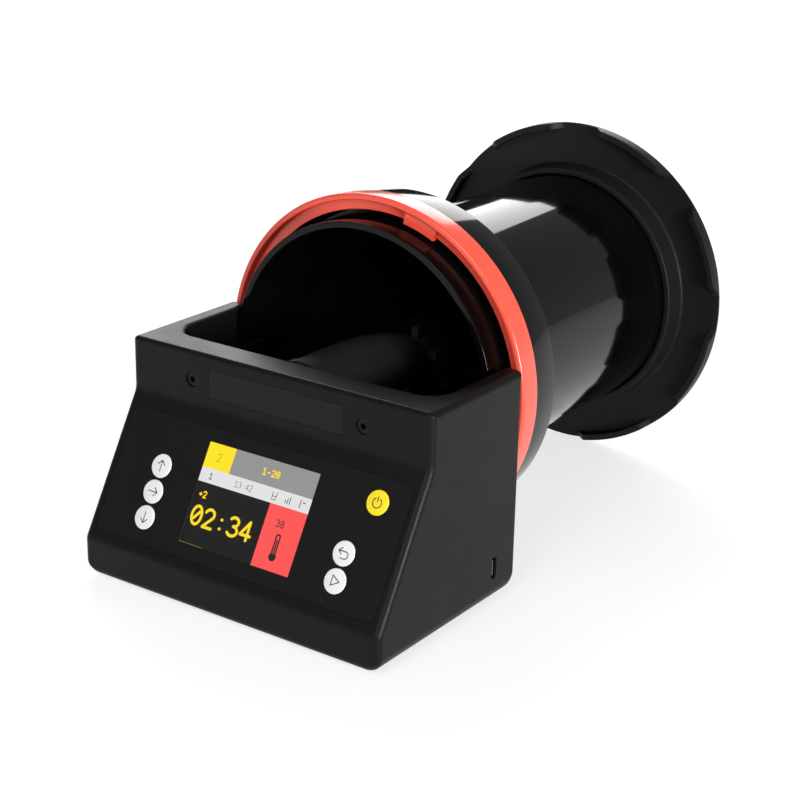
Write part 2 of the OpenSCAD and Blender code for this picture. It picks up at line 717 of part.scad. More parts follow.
module drive_dog() color("#303030") place() difference() {
    union() {
        rod(0, axis_z, dog_hub_r, dog_y0, dog_y1, small_fn * 2);
        box([-dog_d / 2, dog_y0, axis_z - dog_wing / 2], [dog_d / 2, dog_y1, axis_z + dog_wing / 2]);
        box([-dog_wing / 2, dog_y0, axis_z - dog_d / 2], [dog_wing / 2, dog_y1, axis_z + dog_d / 2]);
    }
    rod(0, axis_z, spindle_r + snug, dog_y0 - cut, dog_y1 + cut, small_fn * 2);
}

// Half-moon coupler that enters the funnel's mouth
module coupler_hole(a, r, y0, y1)
    rod(coupler_screw_ring * cos(a), axis_z + coupler_screw_ring * sin(a), r, y0, y1);
module coupler() color("#1C1C1C") place() difference() {
    intersection() {
        union() {
            rod(0, axis_z, coupler_r, coupler_y, coupler_back, round_fn);
            rod(0, axis_z, sleeve_r, coupler_y, coupler_back + sleeve_len, round_fn);
        }
        box([-recess_w, 0, 0], [recess_w, head_d * 2, coupler_top_z]);
    }
    rod(0, axis_z, coupler_bore_r, coupler_y - cut, coupler_back + sleeve_len + cut, round_fn);
    for (a = coupler_lug_angles)
        coupler_hole(a, coupler_screw_r + snug, coupler_y - cut, coupler_screw_end + snug);
}
module coupler_gasket() color("#0E0E0E") place() intersection() {
    tube(sleeve_r + seat, funnel_r - 0.2, coupler_back, coupler_back + gasket_t);
    box([-recess_w, 0, 0], [recess_w, head_d * 2, coupler_top_z - 0.5]);
}
module coupler_screws() color("silver") place() for (a = coupler_lug_angles) {
    coupler_hole(a, coupler_head_r, coupler_lug_y - coupler_head_h, coupler_lug_y);
    coupler_hole(a, coupler_screw_r, coupler_lug_y - coupler_head_h / 2, coupler_screw_end);
}

module battery_cells() color("#2F6DB5") place() for (side = [-1, 1]) {
    rod(side * cell_x, cell_z, cell_r, cell_y0, cell_y0 + cell_len, small_fn * 2);
}
module power_board() color("#1F5E3A") place()
    box([power_board_x0, power_board_y, cover_top_z],
        [inner_half_w - gap, power_board_y + power_board_t, power_board_top]);
module usb_socket() color("silver") place() difference() {
    mouth = half_w - usb_sink;
    usb_slot(0, mouth - usb_depth, mouth);
    difference() {
        usb_slot(-usb_shell_t, mouth - usb_depth + 1.5, half_w + cut);
        box([mouth - usb_depth, usb_y - usb_tongue_t / 2, usb_z - usb_l / 2 + usb_tongue_in],
            [mouth - usb_tongue_in, usb_y + usb_tongue_t / 2, usb_z + usb_l / 2 - usb_tongue_in]);
    }
}
module ribbon_cable() color("#C8C8C8") place() {
    inner_y = ribbon_y0 + ribbon_t;
    side_slab([[ribbon_y0, cover_top_z], [ribbon_y0, ribbon_top], [inner_y, ribbon_top],
        [inner_y, cover_top_z + ribbon_t], [power_board_y, cover_top_z + ribbon_t],
        [power_board_y, cover_top_z]], ribbon_x - ribbon_w / 2, ribbon_x + ribbon_w / 2);
}
module temperature_probe() color("silver") place() {
    rod(0, probe_z, probe_r, recess_wall_y - probe_nut_t - 1, recess_front_y + probe_len);
    translate([0, recess_front_y + probe_len, probe_z]) sphere(r = probe_r, $fn = small_fn);
    rod(0, probe_z, probe_nut_r, recess_front_y, recess_front_y + probe_flange_t);
}
module probe_nut() color("silver") place() difference() {
    rod(0, probe_z, probe_nut_r, recess_wall_y - probe_nut_t, recess_wall_y, 6);
    rod(0, probe_z, probe_r + snug, recess_wall_y - probe_nut_t - cut, recess_wall_y + cut);
}
module rubber_feet() color("#0C0C0C") place() for (p = foot_places)
    translate([p[0], p[1], 0]) cylinder(r = foot_r, h = foot_top_z, $fn = small_fn * 2);
module cover_screws() color("silver") place() for (p = posts) translate([p[0], p[1], foot_h]) {
    translate([0, 0, 0.2]) cylinder(r = cover_head_r, h = cover_head_h, $fn = small_fn);
    translate([0, 0, 0.2]) cylinder(r = post_hole_r - snug, h = cover_screw_len, $fn = small_fn);
}

// Tank: a wide collar at the mouth and a narrower body with a pivot for the column
module tank_body() color("#0A0A0A") place() revolve([
    [0, body_y1], [body_r - edge_bevel, body_y1], [body_r, body_y1 - edge_bevel], [body_r, collar_y1],
    [collar_back_r - edge_bevel, collar_y1], [collar_back_r, collar_y1 - edge_bevel], [collar_r, collar_y0],
    [rim_r, collar_y0], [rim_r, rib_y + rib_w], [rib_r, rib_y + rib_w], [rib_r, rib_y], [rim_r, rib_y],
    [rim_r, rim_y0], [collar_bore_r, rim_y0], [collar_bore_r, shoulder_y], [body_bore_r, shoulder_y],
    [body_bore_r, base_in_y], [pivot_r, base_in_y], [pivot_r, base_in_y - pivot_h],
    [0, base_in_y - pivot_h]]);
module funnel() color("#101010") place() {
    back_y = floor_y + funnel_wall;
    back_r = throat_r + funnel_wall;
    revolve(rounded([[funnel_bore_r, funnel_y0, 0], [funnel_bore_r, floor_y - floor_fall, funnel_fillet],
        [floor_r, floor_y, throat_fillet], [throat_r, throat_y, throat_fillet], [throat_r, throat_end_y, 0],
        [back_r, throat_end_y, 0], [back_r, throat_y + funnel_wall / 2, throat_fillet],
        [floor_r + funnel_wall / 4, back_y, throat_fillet],
        [funnel_r, back_y - floor_fall, funnel_fillet + funnel_wall], [funnel_r, funnel_y0, 0]]));
    for (y = [seal_mid_y - seal_t / 2 - seal_rib_w, seal_mid_y + seal_t / 2])
        tube(funnel_r - funnel_wall / 2, flange_r - 0.2, y, y + seal_rib_w);
    for (a = tab_angles)
        ring_block(funnel_r - funnel_wall / 2, lug_r, lug_y0, lug_y0 + lug_t, a, tab_span);
}
module tank_seal() color("#151515") place() translate([0, 0, axis_z]) rotate([-90, 0, 0])
    rotate_extrude($fn = round_fn)
        translate([(funnel_r + collar_bore_r) / 2, seal_mid_y]) circle(seal_t / 2, $fn = small_fn);
module lock_ring() color("#FF6450") place() {
    back_r = ring_r - ring_taper;
    revolve(concat(fillet([ring_bore_r, ring_y0], [ring_r, ring_y0], [back_r, ring_y1], ring_edge_r, 6),
        fillet([ring_r, ring_y0], [back_r, ring_y1], [ring_bore_r, ring_y1], ring_back_r, 3),
        [[ring_bore_r, ring_y1], [ring_bore_r, rib_y + rib_w + gap], [rib_r + gap, rib_y + rib_w + gap],
         [rib_r + gap, rib_y - gap], [ring_bore_r, rib_y - gap], [ring_bore_r, ring_y0 + tab_t],
         [flange_r, ring_y0 + tab_t], [flange_r, ring_y0 + flange_in],
         [ring_bore_r, ring_y0 + flange_in], [ring_bore_r, ring_y0]]));
    for (a = tab_angles)
        ring_block(tab_r, ring_bore_r + ring_wall / 4, ring_y0 + tab_in, ring_y0 + tab_t, a, tab_span);
}

// Column and reels
module centre_column() color("#181818") place() {
    revolve([[column_bore_r, column_y0], [column_r, column_y0], [column_r, column_y1 - column_foot_t],
        [column_foot_r, column_y1 - column_foot_t], [column_foot_r, column_y1], [column_bore_r, column_y1]]);
    difference() {
        tube(dog_hub_r + 1.8, column_bore_r + column_wall / 2, column_y0, socket_end_y);
        for (a = [0:90:359]) translate([0, 0, axis_z]) rotate([0, a, 0])
            box([0, column_y0 - cut, -dog_slot / 2], [column_r, socket_end_y + cut, dog_slot / 2]);
    }
}
// A disc that holds the reels on the column and keeps light from the film
module column_clip() color("#161616") place() tube(column_r + seat, clip_r, clip_y0, clip_y0 + clip_t);
// A reel flange with ring grooves on its film side, facing +Y or -Y
module reel_flange(y, face) {
    grooves = floor((reel_r - reel_hub_r - reel_groove_start) / reel_groove_pitch);
    difference() {
        tube(reel_hub_r, reel_r, face > 0 ? y : y - reel_flange_t, face > 0 ? y + reel_flange_t : y);
        for (i = [0:grooves - 1]) {
            r = reel_hub_r + reel_groove_start + i * reel_groove_pitch;
            film = y + face * (reel_flange_t - reel_groove / 2);
            tube(r, r + reel_groove_pitch / 2, film - reel_groove / 2, film + reel_groove / 2);
        }
    }
}
module reel_core(y0) {
    reel_flange(y0, 1);
    tube(reel_hub_r, reel_hub_r + reel_hub_wall, y0, y0 + reel_len - reel_flange_t - reel_hub_in);
}
module reel_half(y0) {
    inner = reel_hub_r + reel_hub_wall + gap;
    difference() {
        reel_flange(y0 + reel_len, -1);
        rod(0, axis_z, inner, y0, y0 + reel_len + cut, round_fn);
    }
    tube(inner, inner + reel_hub_wall, y0 + reel_flange_t + reel_hub_in, y0 + reel_len);
}
module reel_a_core() color("#F0F0EC") place() reel_core(reel_a_y0);
module reel_a_half() color("#F0F0EC") place() reel_half(reel_a_y0);
module reel_b_core() color("#F0F0EC") place() reel_core(reel_b_y0);
module reel_b_half() color("#F0F0EC") place() reel_half(reel_b_y0);

// Cap: a disc with a grip lip broken by gaps, and a ring that holds the tank's foot
module rear_cap() color("#141414") place() {
    hub_r = socket_r + socket_wall;
    revolve([[0, cap_y0], [socket_r, cap_y0], [socket_r, cap_y0 - socket_h], [hub_r, cap_y0 - socket_h],
        [hub_r + cap_dish, cap_rim_y], [cap_r, cap_rim_y], [cap_r, cap_y1 - cap_edge],
        [cap_r - cap_edge, cap_y1], [body_r, cap_y1], [body_r - cap_dish, cap_y1 - cap_dish],
        [0, cap_y1 - cap_dish]]);
    difference() {
        tube(cap_r - lip_wall, cap_r, cap_rim_y - lip_h, cap_rim_y + cap_rim_t / 3);
        for (i = [0:lip_gaps - 1]) translate([0, cap_rim_y, axis_z]) rotate([0, i * 360 / lip_gaps, 0])
            translate([cap_r - lip_wall - 2, 0, 0]) rotate([90, 0, 90]) linear_extrude(lip_wall + 4)
                polygon([[0, -lip_gap_w / 2], [0, lip_gap_w / 2], [-lip_h - cut, lip_gap_w / 2 + lip_ramp],
                    [-lip_h - cut, -lip_gap_w / 2 - lip_ramp]]);
    }
}

housing();
bottom_cover();
control_panel();
screen_window();
display();
name_plate();
button_up();
button_right();
button_down();
button_power();
button_back();
button_start();
key_switches();
panel_board();
board_screws();
front_screws();
motor_housing();
motor_gasket();
motor();
gearbox();
spindle_bush();
shaft_seal();
spindle();
drive_dog();
coupler();
coupler_gasket();
coupler_screws();
battery_cells();
power_board();
usb_socket();
ribbon_cable();
temperature_probe();
probe_nut();
rubber_feet();
cover_screws();
tank_body();
funnel();
tank_seal();
lock_ring();
centre_column();
column_clip();
reel_a_core();
reel_a_half();
reel_b_core();
reel_b_half();
rear_cap();
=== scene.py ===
import math

import bmesh
import bpy
from mathutils import Matrix, Vector


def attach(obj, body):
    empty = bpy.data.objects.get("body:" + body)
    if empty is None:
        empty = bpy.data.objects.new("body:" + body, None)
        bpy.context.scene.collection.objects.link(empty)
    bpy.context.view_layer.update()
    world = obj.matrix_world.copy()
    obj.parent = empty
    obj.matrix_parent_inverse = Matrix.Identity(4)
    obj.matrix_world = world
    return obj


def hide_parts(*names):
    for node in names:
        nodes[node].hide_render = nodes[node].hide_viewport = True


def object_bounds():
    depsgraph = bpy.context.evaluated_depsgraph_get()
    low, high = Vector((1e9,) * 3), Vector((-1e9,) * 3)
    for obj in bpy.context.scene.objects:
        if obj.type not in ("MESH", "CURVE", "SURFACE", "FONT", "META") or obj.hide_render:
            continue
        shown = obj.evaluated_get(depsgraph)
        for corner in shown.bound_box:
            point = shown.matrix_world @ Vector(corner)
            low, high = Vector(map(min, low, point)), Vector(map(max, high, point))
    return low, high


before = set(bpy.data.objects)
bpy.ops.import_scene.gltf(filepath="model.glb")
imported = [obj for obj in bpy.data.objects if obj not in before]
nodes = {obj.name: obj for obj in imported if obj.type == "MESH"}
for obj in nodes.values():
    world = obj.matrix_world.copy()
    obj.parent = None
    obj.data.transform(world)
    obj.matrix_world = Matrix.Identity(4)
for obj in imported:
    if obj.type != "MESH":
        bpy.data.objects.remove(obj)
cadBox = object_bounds()
frontY = cadBox[0][1]  # the head's front edge; sizes below are mm from there
print("frame loaded:", len(nodes), "nodes")


def place(x, y, z):
    return Vector((x / 1000, y / 1000 + frontY, z / 1000))


def linear(hexText):
    parts = [int(hexText[i:i + 2], 16) / 255 for i in (1, 3, 5)]
    return [c / 12.92 if c <= 0.04045 else ((c + 0.055) / 1.055) ** 2.4 for c in parts] + [1.0]


def addNode(tree, kind, inputs, **settings):
    node = tree.nodes.new(kind)
    for name, value in settings.items():
        setattr(node, name, value)
    for socket, value in inputs.items():
        if isinstance(value, bpy.types.NodeSocket):
            tree.links.new(value, node.inputs[socket])
        else:
            node.inputs[socket].default_value = value
    return node


# Camera, found from the photo's vanishing lines and the tank's circles
cameraLook = {
    "spot": (357.1, -412.1, 278.8),
    "forward": (-0.53743, 0.76986, -0.34422),
    "right": (0.81558, 0.57830, 0.02004),
    "lens": 82.16, "sensor": 36, "clip": (0.01, 50),
}


def makeCamera(look):
    data = bpy.data.cameras.new("photoCamera")
    data.lens = look["lens"]
    data.sensor_width = look["sensor"]
    data.clip_start, data.clip_end = look["clip"]
    camera = bpy.data.objects.new("photoCamera", data)
    forward = Vector(look["forward"]).normalized()
    right = Vector(look["right"])
    right = (right - forward * right.dot(forward)).normalized()
    up = right.cross(forward)
    turn = Matrix((right, up, -forward)).transposed().to_4x4()
    camera.matrix_world = Matrix.Translation(place(*look["spot"])) @ turn
    bpy.context.scene.collection.objects.link(camera)
    bpy.context.scene.camera = camera


makeCamera(cameraLook)
print("camera set")


# Finishes: each starts from the real material and how its surface was made.
# In mm: mottle is slow colour drift, grain is the surface's texture, depth is the grain's height.
# Fine grain is drawn coarser than the real one, at 0.2 mm or more, so that it shows.
finishLooks = {
    # black ABS from a spark-eroded mould: dull, with a fine pebble that breaks up highlights
    "abs_spark_eroded": {
        "color": "#0E0E0E", "drift": "#131313", "mottle": 14, "roughness": (0.36, 0.44),
        "ior": 1.22, "grain": 0.42, "depth": 0.040},
    # hard-coated polyester film: flat black, smooth, no visible pebble
    "polyester_film": {
        "color": "#141414", "drift": "#161616", "mottle": 30, "roughness": (0.54, 0.60),
        "ior": 1.20, "grain": 0.25, "depth": 0.004},
    # the same film for the plate, printed: a shade lighter, as smooth
    "polyester_plate": {
        "color": "#1B1B1B", "drift": "#1D1D1D", "mottle": 30, "roughness": (0.48, 0.54),
        "ior": 1.23, "grain": 0.25, "depth": 0.003},
    # black ABS from a polished mould: deep mirror gloss with a very slow ripple
    "abs_polished": {
        "color": "#060606", "drift": "#080808", "mottle": 40, "roughness": (0.05, 0.09),
        "ior": 1.27, "grain": 9.0, "depth": 0.006},
    # black polypropylene from a stoned mould: satin, soft broad highlights
    "polypropylene_satin": {
        "color": "#181818", "drift": "#1B1B1B", "mottle": 20, "roughness": (0.40, 0.48),
        "ior": 1.22, "grain": 0.5, "depth": 0.004},
    # coral red ABS, polished mould: saturated body colour under a clean gloss
    "abs_coral_red": {
        "color": "#FA5944", "drift": "#F65541", "mottle": 18, "roughness": (0.16, 0.22),
        "ior": 1.50, "grain": 6.0, "depth": 0.004},
    # white polycarbonate key caps, lightly blasted: even, chalky, no sparkle
    "polycarbonate_white": {
        "color": "#F2F2F1", "drift": "#EDEDEC", "mottle": 4, "roughness": (0.44, 0.52),
        "ior": 1.50, "grain": 0.2, "depth": 0.003},
    # yellow polycarbonate key cap, same tool: a clear flat yellow
    "polycarbonate_yellow": {
        "color": "#FFE620", "drift": "#FAE01C", "mottle": 4, "roughness": (0.44, 0.52),
        "ior": 1.50, "grain": 0.2, "depth": 0.003},
    # grey pad-printing ink on the key caps: thin, flat, slightly uneven
    "pad_print_ink": {
        "color": "#2B2B2B", "drift": "#383838", "mottle": 0.6, "roughness": (0.55, 0.65),
        "ior": 1.45, "grain": 0.3, "depth": 0.002},
    # black nylon with glass fibre in it, dull and a shade greyer than the casing; its grey is also raised as
    # painted light, so the motor's dome deep in the shaded recess shows lit
    "nylon_filled_painted_light": {
        "color": "#1F1F1F", "drift": "#232323", "mottle": 9, "roughness": (0.46, 0.56),
        "ior": 1.30, "grain": 0.35, "depth": 0.012},
    # dark nylon as moulded: plain black plastic with a soft sheen
    "nylon_dark": {
        "color": "#141414", "drift": "#181818", "mottle": 6, "roughness": (0.40, 0.52),
        "ior": 1.53, "grain": 0.6, "depth": 0.006},
    # grey nylon of the socket's tongue: dull, a mid grey that shows as a thin pale line in the slot
    "nylon_grey": {
        "color": "#565656", "drift": "#505050", "mottle": 3, "roughness": (0.45, 0.55),
        "ior": 1.53, "grain": 0.3, "depth": 0.003},
    # nitrile rubber: matte, dusty, no clear highlight
    "nitrile_rubber": {
        "color": "#101010", "drift": "#161616", "mottle": 5, "roughness": (0.72, 0.85),
        "ior": 1.52, "grain": 0.3, "depth": 0.010},
    # white polypropylene reels, smooth and slightly waxy
    "polypropylene_white": {
        "color": "#EDEDE9", "drift": "#E6E6E1", "mottle": 15, "roughness": (0.35, 0.42),
        "ior": 1.49, "grain": 0.8, "depth": 0.004},
    # green lacquer over glass-fibre board: the weave shows as a fine ripple
    "board_lacquer": {
        "color": "#1F5E3A", "drift": "#1A5232", "mottle": 2.0, "roughness": (0.30, 0.40),
        "ior": 1.52, "grain": 0.9, "depth": 0.010},
    # printed shrink sleeve round a cell: tight film with small creases
    "shrink_sleeve": {
        "color": "#2F6DB5", "drift": "#2A63A6", "mottle": 8, "roughness": (0.22, 0.30),
        "ior": 1.50, "grain": 3.0, "depth": 0.02},
    # flat grey ribbon cable in vinyl: made uneven by its wires
    "ribbon_vinyl": {
        "color": "#B9B9B9", "drift": "#A9A9A9", "mottle": 1.3, "roughness": (0.45, 0.55),
        "ior": 1.52, "grain": 1.3, "depth": 0.05},
    # blackened steel screws: dark metal with a dull sheen
    "steel_blackened": {
        "color": "#1A1A1B", "drift": "#232325", "mottle": 2, "roughness": (0.38, 0.50),
        "metallic": 0.8, "grain": 0.3, "depth": 0.006},
    # turned stainless steel: bright, with a fine uneven grain
    "steel_turned": {
        "color": "#B9B9BA", "drift": "#A8A8AA", "mottle": 6, "roughness": (0.22, 0.32),
        "metallic": 1.0, "grain": 0.25, "depth": 0.006},
    # oil-filled bronze bush: warm, grainy metal
    "bronze_sintered": {
        "color": "#B88B3E", "drift": "#A57A33", "mottle": 1.2, "roughness": (0.40, 0.52),
        "metallic": 1.0, "grain": 0.25, "depth": 0.012},
}


# how drift and grain are drawn; band is the part of the drift that sweeps the roughness
patternLook = {
    "driftDetail": 3.0, "driftSoft": 0.55, "grainDetail": 2.0, "grainSoft": 0.5, "band": (0.3, 0.7),
}


def newMaterial(name, inputs):
    material = bpy.data.materials.new(name)
    material.use_nodes = True
    shader = material.node_tree.nodes["Principled BSDF"]
    for socket, value in inputs.items():
        shader.inputs[socket].default_value = value
    return material


def makeFinish(name, look, pattern):
    bodyInput = {"Metallic": look["metallic"]} if "metallic" in look else {"IOR": look["ior"]}
    material = newMaterial(name, bodyInput)
    tree = material.node_tree
    shader = tree.nodes["Principled BSDF"]
    spot = addNode(tree, "ShaderNodeTexCoord", {}).outputs["Object"]
    drift = addNode(tree, "ShaderNodeTexNoise", {
        "Vector": spot, "Scale": 1000 / look["mottle"],
        "Detail": pattern["driftDetail"], "Roughness": pattern["driftSoft"]})
    tint = addNode(tree, "ShaderNodeMix", {
        0: drift.outputs["Fac"], 6: linear(look["color"]), 7: linear(look["drift"])}, data_type="RGBA")
    grain = addNode(tree, "ShaderNodeTexNoise", {
        "Vector": spot, "Scale": 1000 / look["grain"],
        "Detail": pattern["grainDetail"], "Roughness": pattern["grainSoft"]})
    rough = addNode(tree, "ShaderNodeMapRange", {
        0: drift.outputs["Fac"], 1: pattern["band"][0], 2: pattern["band"][1],
        3: look["roughness"][0], 4: look["roughness"][1]})
    bump = addNode(tree, "ShaderNodeBump", {
        "Height": grain.outputs["Fac"], "Strength": 1.0, "Distance": look["depth"] / 1000})
    tree.links.new(tint.outputs[2], shader.inputs["Base Color"])
    tree.links.new(rough.outputs[0], shader.inputs["Roughness"])
    tree.links.new(bump.outputs["Normal"], shader.inputs["Normal"])
    return material


finishes = {name: makeFinish(name, look, patternLook) for name, look in finishLooks.items()}

# Light from the panel's picture: flat glowing areas, as a back-lit display gives
glowColors = {
    "glow_yellow": "#FFE62D", "glow_amber": "#FFDC32", "glow_grey": "#969696", "glow_white": "#E4E4E4",
    "glow_red": "#FF5A5A", "glow_ink": "#2C2C2C", "glow_mustard": "#B9A52C", "glow_rust": "#4A2B2B",
}


def makeGlow(name, color):
    return newMaterial(name, {
        "Base Color": (0, 0, 0, 1), "Roughness": 0.6, "Specular IOR Level": 0.0,
        "Emission Color": linear(color), "Emission Strength": 1.0})


glows = {name: makeGlow(name, color) for name, color in glowColors.items()}

# clear acrylic over the display, bonded to it: a fainter mirror than a bare sheet gives
acrylicClear = newMaterial("acrylic_clear", {
    "Base Color": (1, 1, 1, 1), "Transmission Weight": 1.0, "Roughness": 0.0, "IOR": 1.2})
# dark glass behind the picture: dull black, with a little of its back light leaking through
displayDark = newMaterial("display_glass_dark", {
    "Base Color": linear("#0C0C0C"), "Roughness": 0.5, "IOR": 1.15,
    "Emission Color": linear("#161616"), "Emission Strength": 1.0})
print("finishes made:", len(finishes) + len(glows) + 2)


# Mesh helpers
def smoothMesh(mesh, sharp=30):
    # folds sharper than this many degrees stay hard edges
    work = bmesh.new()
    work.from_mesh(mesh)
    bmesh.ops.recalc_face_normals(work, faces=work.faces)
    work.to_mesh(mesh)
    work.free()
    mesh.polygons.foreach_set("use_smooth", [True] * len(mesh.polygons))
    mesh.set_sharp_from_angle(angle=math.radians(sharp))


def addMesh(name, verts, faces, material, body):
    mesh = bpy.data.meshes.new(name)
    mesh.from_pydata(verts, [], faces)
    mesh.validate()
    mesh.materials.append(material)
    piece = bpy.data.objects.new(name, mesh)
    bpy.context.scene.collection.objects.link(piece)
    smoothMesh(mesh)
    if body:
        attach(piece, body)
    return piece


def arcPoints(middle, radius, start, end, steps):
    turns = [math.radians(start + (end - start) * i / steps) for i in range(steps + 1)]
    return [(middle[0] + radius * math.cos(t), middle[1] + radius * math.sin(t)) for t in turns]


def roundCorners(corners, steps=7):
    # corners are (a, b, radius); each one with a radius becomes an arc
    points = []
    for i, (a, b, radius) in enumerate(corners):
        here = Vector((a, b))
        if radius <= 0:
            points.append((a, b))
            continue
        before = (Vector(corners[i - 1][:2]) - here).normalized()
        after = (Vector(corners[(i + 1) % len(corners)][:2]) - here).normalized()
        half = before.angle(after) / 2
        hub = here + (before + after).normalized() * (radius / math.sin(half))
        start = here + before * (radius / math.tan(half)) - hub
        end = here + after * (radius / math.tan(half)) - hub
        first = math.atan2(start.y, start.x)
        sweep = (math.atan2(end.y, end.x) - first + math.pi) % (2 * math.pi) - math.pi
        for k in range(steps + 1):
            t = first + sweep * k / steps
            points.append((hub.x + radius * math.cos(t), hub.y + radius * math.sin(t)))
    return points


def roundedBox(x0, x1, y0, y1, radius, steps=7):
    return roundCorners([(x0, y0, radius), (x1, y0, radius), (x1, y1, radius), (x0, y1, radius)], steps)


def circle(x, y, radius, steps=48):
    return arcPoints((x, y), radius, 0, 360, steps)[:-1]


def capsule(x, low, high, radius, steps=20):
    return arcPoints((x, high), radius, 0, 180, steps) + arcPoints((x, low), radius, 180, 360, steps)


axisZ = 66.4  # height of the tank's axis


def spinPoint(r, y, turn):
    return place(r * math.cos(turn), y, axisZ + r * math.sin(turn))


def spinMesh(outline, steps, start=0.0, end=360.0):
    # outline is a closed list of (r, y), or a function of the angle in degrees that gives one
    whole = end - start >= 360
    onAxis = 1e-6  # radii under this lie on the axis
    count = steps if whole else steps + 1
    rings = []
    for i in range(count):
        angle = start + (end - start) * i / steps
        points = outline(angle) if callable(outline) else outline
        rings.append([(r, y, math.radians(angle)) for r, y in points])
    size = len(rings[0])
    verts = [spinPoint(*p) for ring in rings for p in ring]
    faces = []
    for i in range(steps):
        j = (i + 1) % count
        for k in range(size):
            m = (k + 1) % size
            if rings[i][k][0] < onAxis and rings[i][m][0] < onAxis:
                continue
            faces.append((i * size + k, i * size + m, j * size + m, j * size + k))
    if not whole:
        faces.append(tuple(range(size)))
        faces.append(tuple((count - 1) * size + k for k in range(size)))
    return verts, faces


def joinMeshes(parts):
    verts, faces = [], []
    for partVerts, partFaces in parts:
        base = len(verts)
        verts += partVerts
        faces += [tuple(base + k for k in face) for face in partFaces]
    return verts, faces


def prismMesh(outline, low, high, put):
    # a straight prism; put(a, b, c) places a point of the outline at height c
    size = len(outline)
    verts = [put(a, b, low) for a, b in outline] + [put(a, b, high) for a, b in outline]
    faces = [tuple(range(size)), tuple(size + k for k in range(size))]
    faces += [(k, (k + 1) % size, size + (k + 1) % size, size + k) for k in range(size)]
    return verts, faces


def loftMesh(rings):
    # skins rings of placed points, all with the same count, and closes both ends
    size = len(rings[0])
    faces = []
    for i in range(len(rings) - 1):
        low, high = i * size, (i + 1) * size
        for k in range(size):
            m = (k + 1) % size
            faces.append((low + k, low + m, high + m, high + k))
    for end in (0, (len(rings) - 1) * size):
        faces.append(tuple(end + k for k in range(size)))
    return [point for ring in rings for point in ring], faces


def alongY(a, b, c):
    return place(a, c, b)


def alongX(a, b, c):
    return place(c, a, b)


def meldPoints(piece, reach=1e-7):
    work = bmesh.new()
    work.from_mesh(piece.data)
    bmesh.ops.remove_doubles(work, verts=work.verts, dist=reach)
    bmesh.ops.dissolve_degenerate(work, edges=work.edges, dist=reach)
    work.to_mesh(piece.data)
    work.free()


def carve(piece, parts):
    # takes each closed mesh out of the piece
    for verts, faces in parts:
        cutter = addMesh("cutter", verts, faces, piece.data.materials[0], None)
        step = piece.modifiers.new("carve", "BOOLEAN")
        step.operation = "DIFFERENCE"
        step.solver = "EXACT"
        step.object = cutter
        graph = bpy.context.evaluated_depsgraph_get()
        carved = bpy.data.meshes.new_from_object(piece.evaluated_get(graph))
        piece.modifiers.clear()
        old = piece.data
        piece.data = carved
        bpy.data.meshes.remove(old)
        bpy.data.objects.remove(cutter)


# Head moulding: a wedge-fronted shell whose side edges are rounded all the way round
headSizes = {
    "halfWidth": 63.3, "depth": 80.5, "height": 80.5, "wall": 2.4, "upperFront": 27.0,
    "slopeTop": 61.3, "slopeFoot": 13.9, "footGap": 0.8, "sideRound": 2.5, "sideFoot": 5.5,
    "topRound": 1.6, "bend": 6.0, "footBend": 5.0, "noseFoot": 2.5, "rearFoot": 4.5,
    "sideSteps": 9, "cornerSteps": 8, "sharp": 28, "normalWeight": 90,
    "recessHalf": 55.4, "recessFront": 40.4, "recessCorner": 9.0, "recessSteps": 16, "recessLap": 0.02,
    "pastBack": 95, "pastTop": 100, "rimRound": 2.2, "rimTurn": 84, "rimSteps": 8, "rimRise": 0.3,
    "posts": ((51.4, 5.2, 12.9), (29.3, 72.0, 17.9)), "postRadius": 3.0, "postFoot": 3.02,
    "motorHole": 11.3, "probeHole": 2.15, "probeDrop": 26.4,
    "slotY": 66.2, "slotLow": 10.8, "slotHigh": 16.2, "slotRadius": 1.6,
}
slopeTurn = math.atan2(headSizes["upperFront"], headSizes["slopeTop"] - headSizes["slopeFoot"])


def onSlope(x, s, n):
    # x across, s up the slope from its foot, n out of it
    y = s * math.sin(slopeTurn) - n * math.cos(slopeTurn)
    z = headSizes["slopeFoot"] + s * math.cos(slopeTurn) + n * math.sin(slopeTurn)
    return place(x, y, z)


def insetCorners(corners, insets):
    # moves each edge of the outline in by its own inset; edge i runs from corner i to the next
    moved = []
    for i, (a, b, radius) in enumerate(corners):
        before = Vector(corners[i - 1][:2])
        here = Vector((a, b))
        after = Vector(corners[(i + 1) % len(corners)][:2])
        d1 = (here - before).normalized()
        d2 = (after - here).normalized()
        in1, in2 = insets[i - 1], insets[i]
        turn = d1.x * d2.y - d1.y * d2.x
        spot = here + (d2 * in1 - d1 * in2) / turn
        inset = min(in1, in2)
        moved.append((spot.x, spot.y, max(radius - inset, 0.05) if turn > 0 else radius + inset))
    return moved


def headCorners(h):
    return [
        (0, h["footGap"], h["noseFoot"]), (h["depth"], h["footGap"], h["rearFoot"]),
        (h["depth"], h["height"], h["topRound"]), (h["upperFront"], h["height"], h["topRound"]),
        (h["upperFront"], h["slopeTop"], h["bend"]), (0, h["slopeFoot"], h["footBend"])]


def sideInset(h, x, radius):
    # how far a side edge of this radius has drawn in at a distance x from the middle
    over = max(0.0, x - h["halfWidth"] + radius)
    return radius - math.sqrt(max(0.0, radius * radius - over * over))


def loftHead(h):
    corners = headCorners(h)
    turns = [math.radians(90 * k / h["sideSteps"]) for k in range(h["sideSteps"] + 1)]
    rounds = (h["sideRound"], h["sideFoot"])
    ends = sorted({round(h["halfWidth"] - r + r * math.sin(t), 4) for r in rounds for t in turns})
    rings = []
    for x in [-end for end in reversed(ends)] + ends:
        foot = sideInset(h, abs(x), h["sideFoot"])
        rest = sideInset(h, abs(x), h["sideRound"])
        insets = [foot] + [rest] * (len(corners) - 1)
        outline = roundCorners(insetCorners(corners, insets), h["cornerSteps"])
        rings.append([place(x, y, z) for y, z in outline])
    return loftMesh(rings)


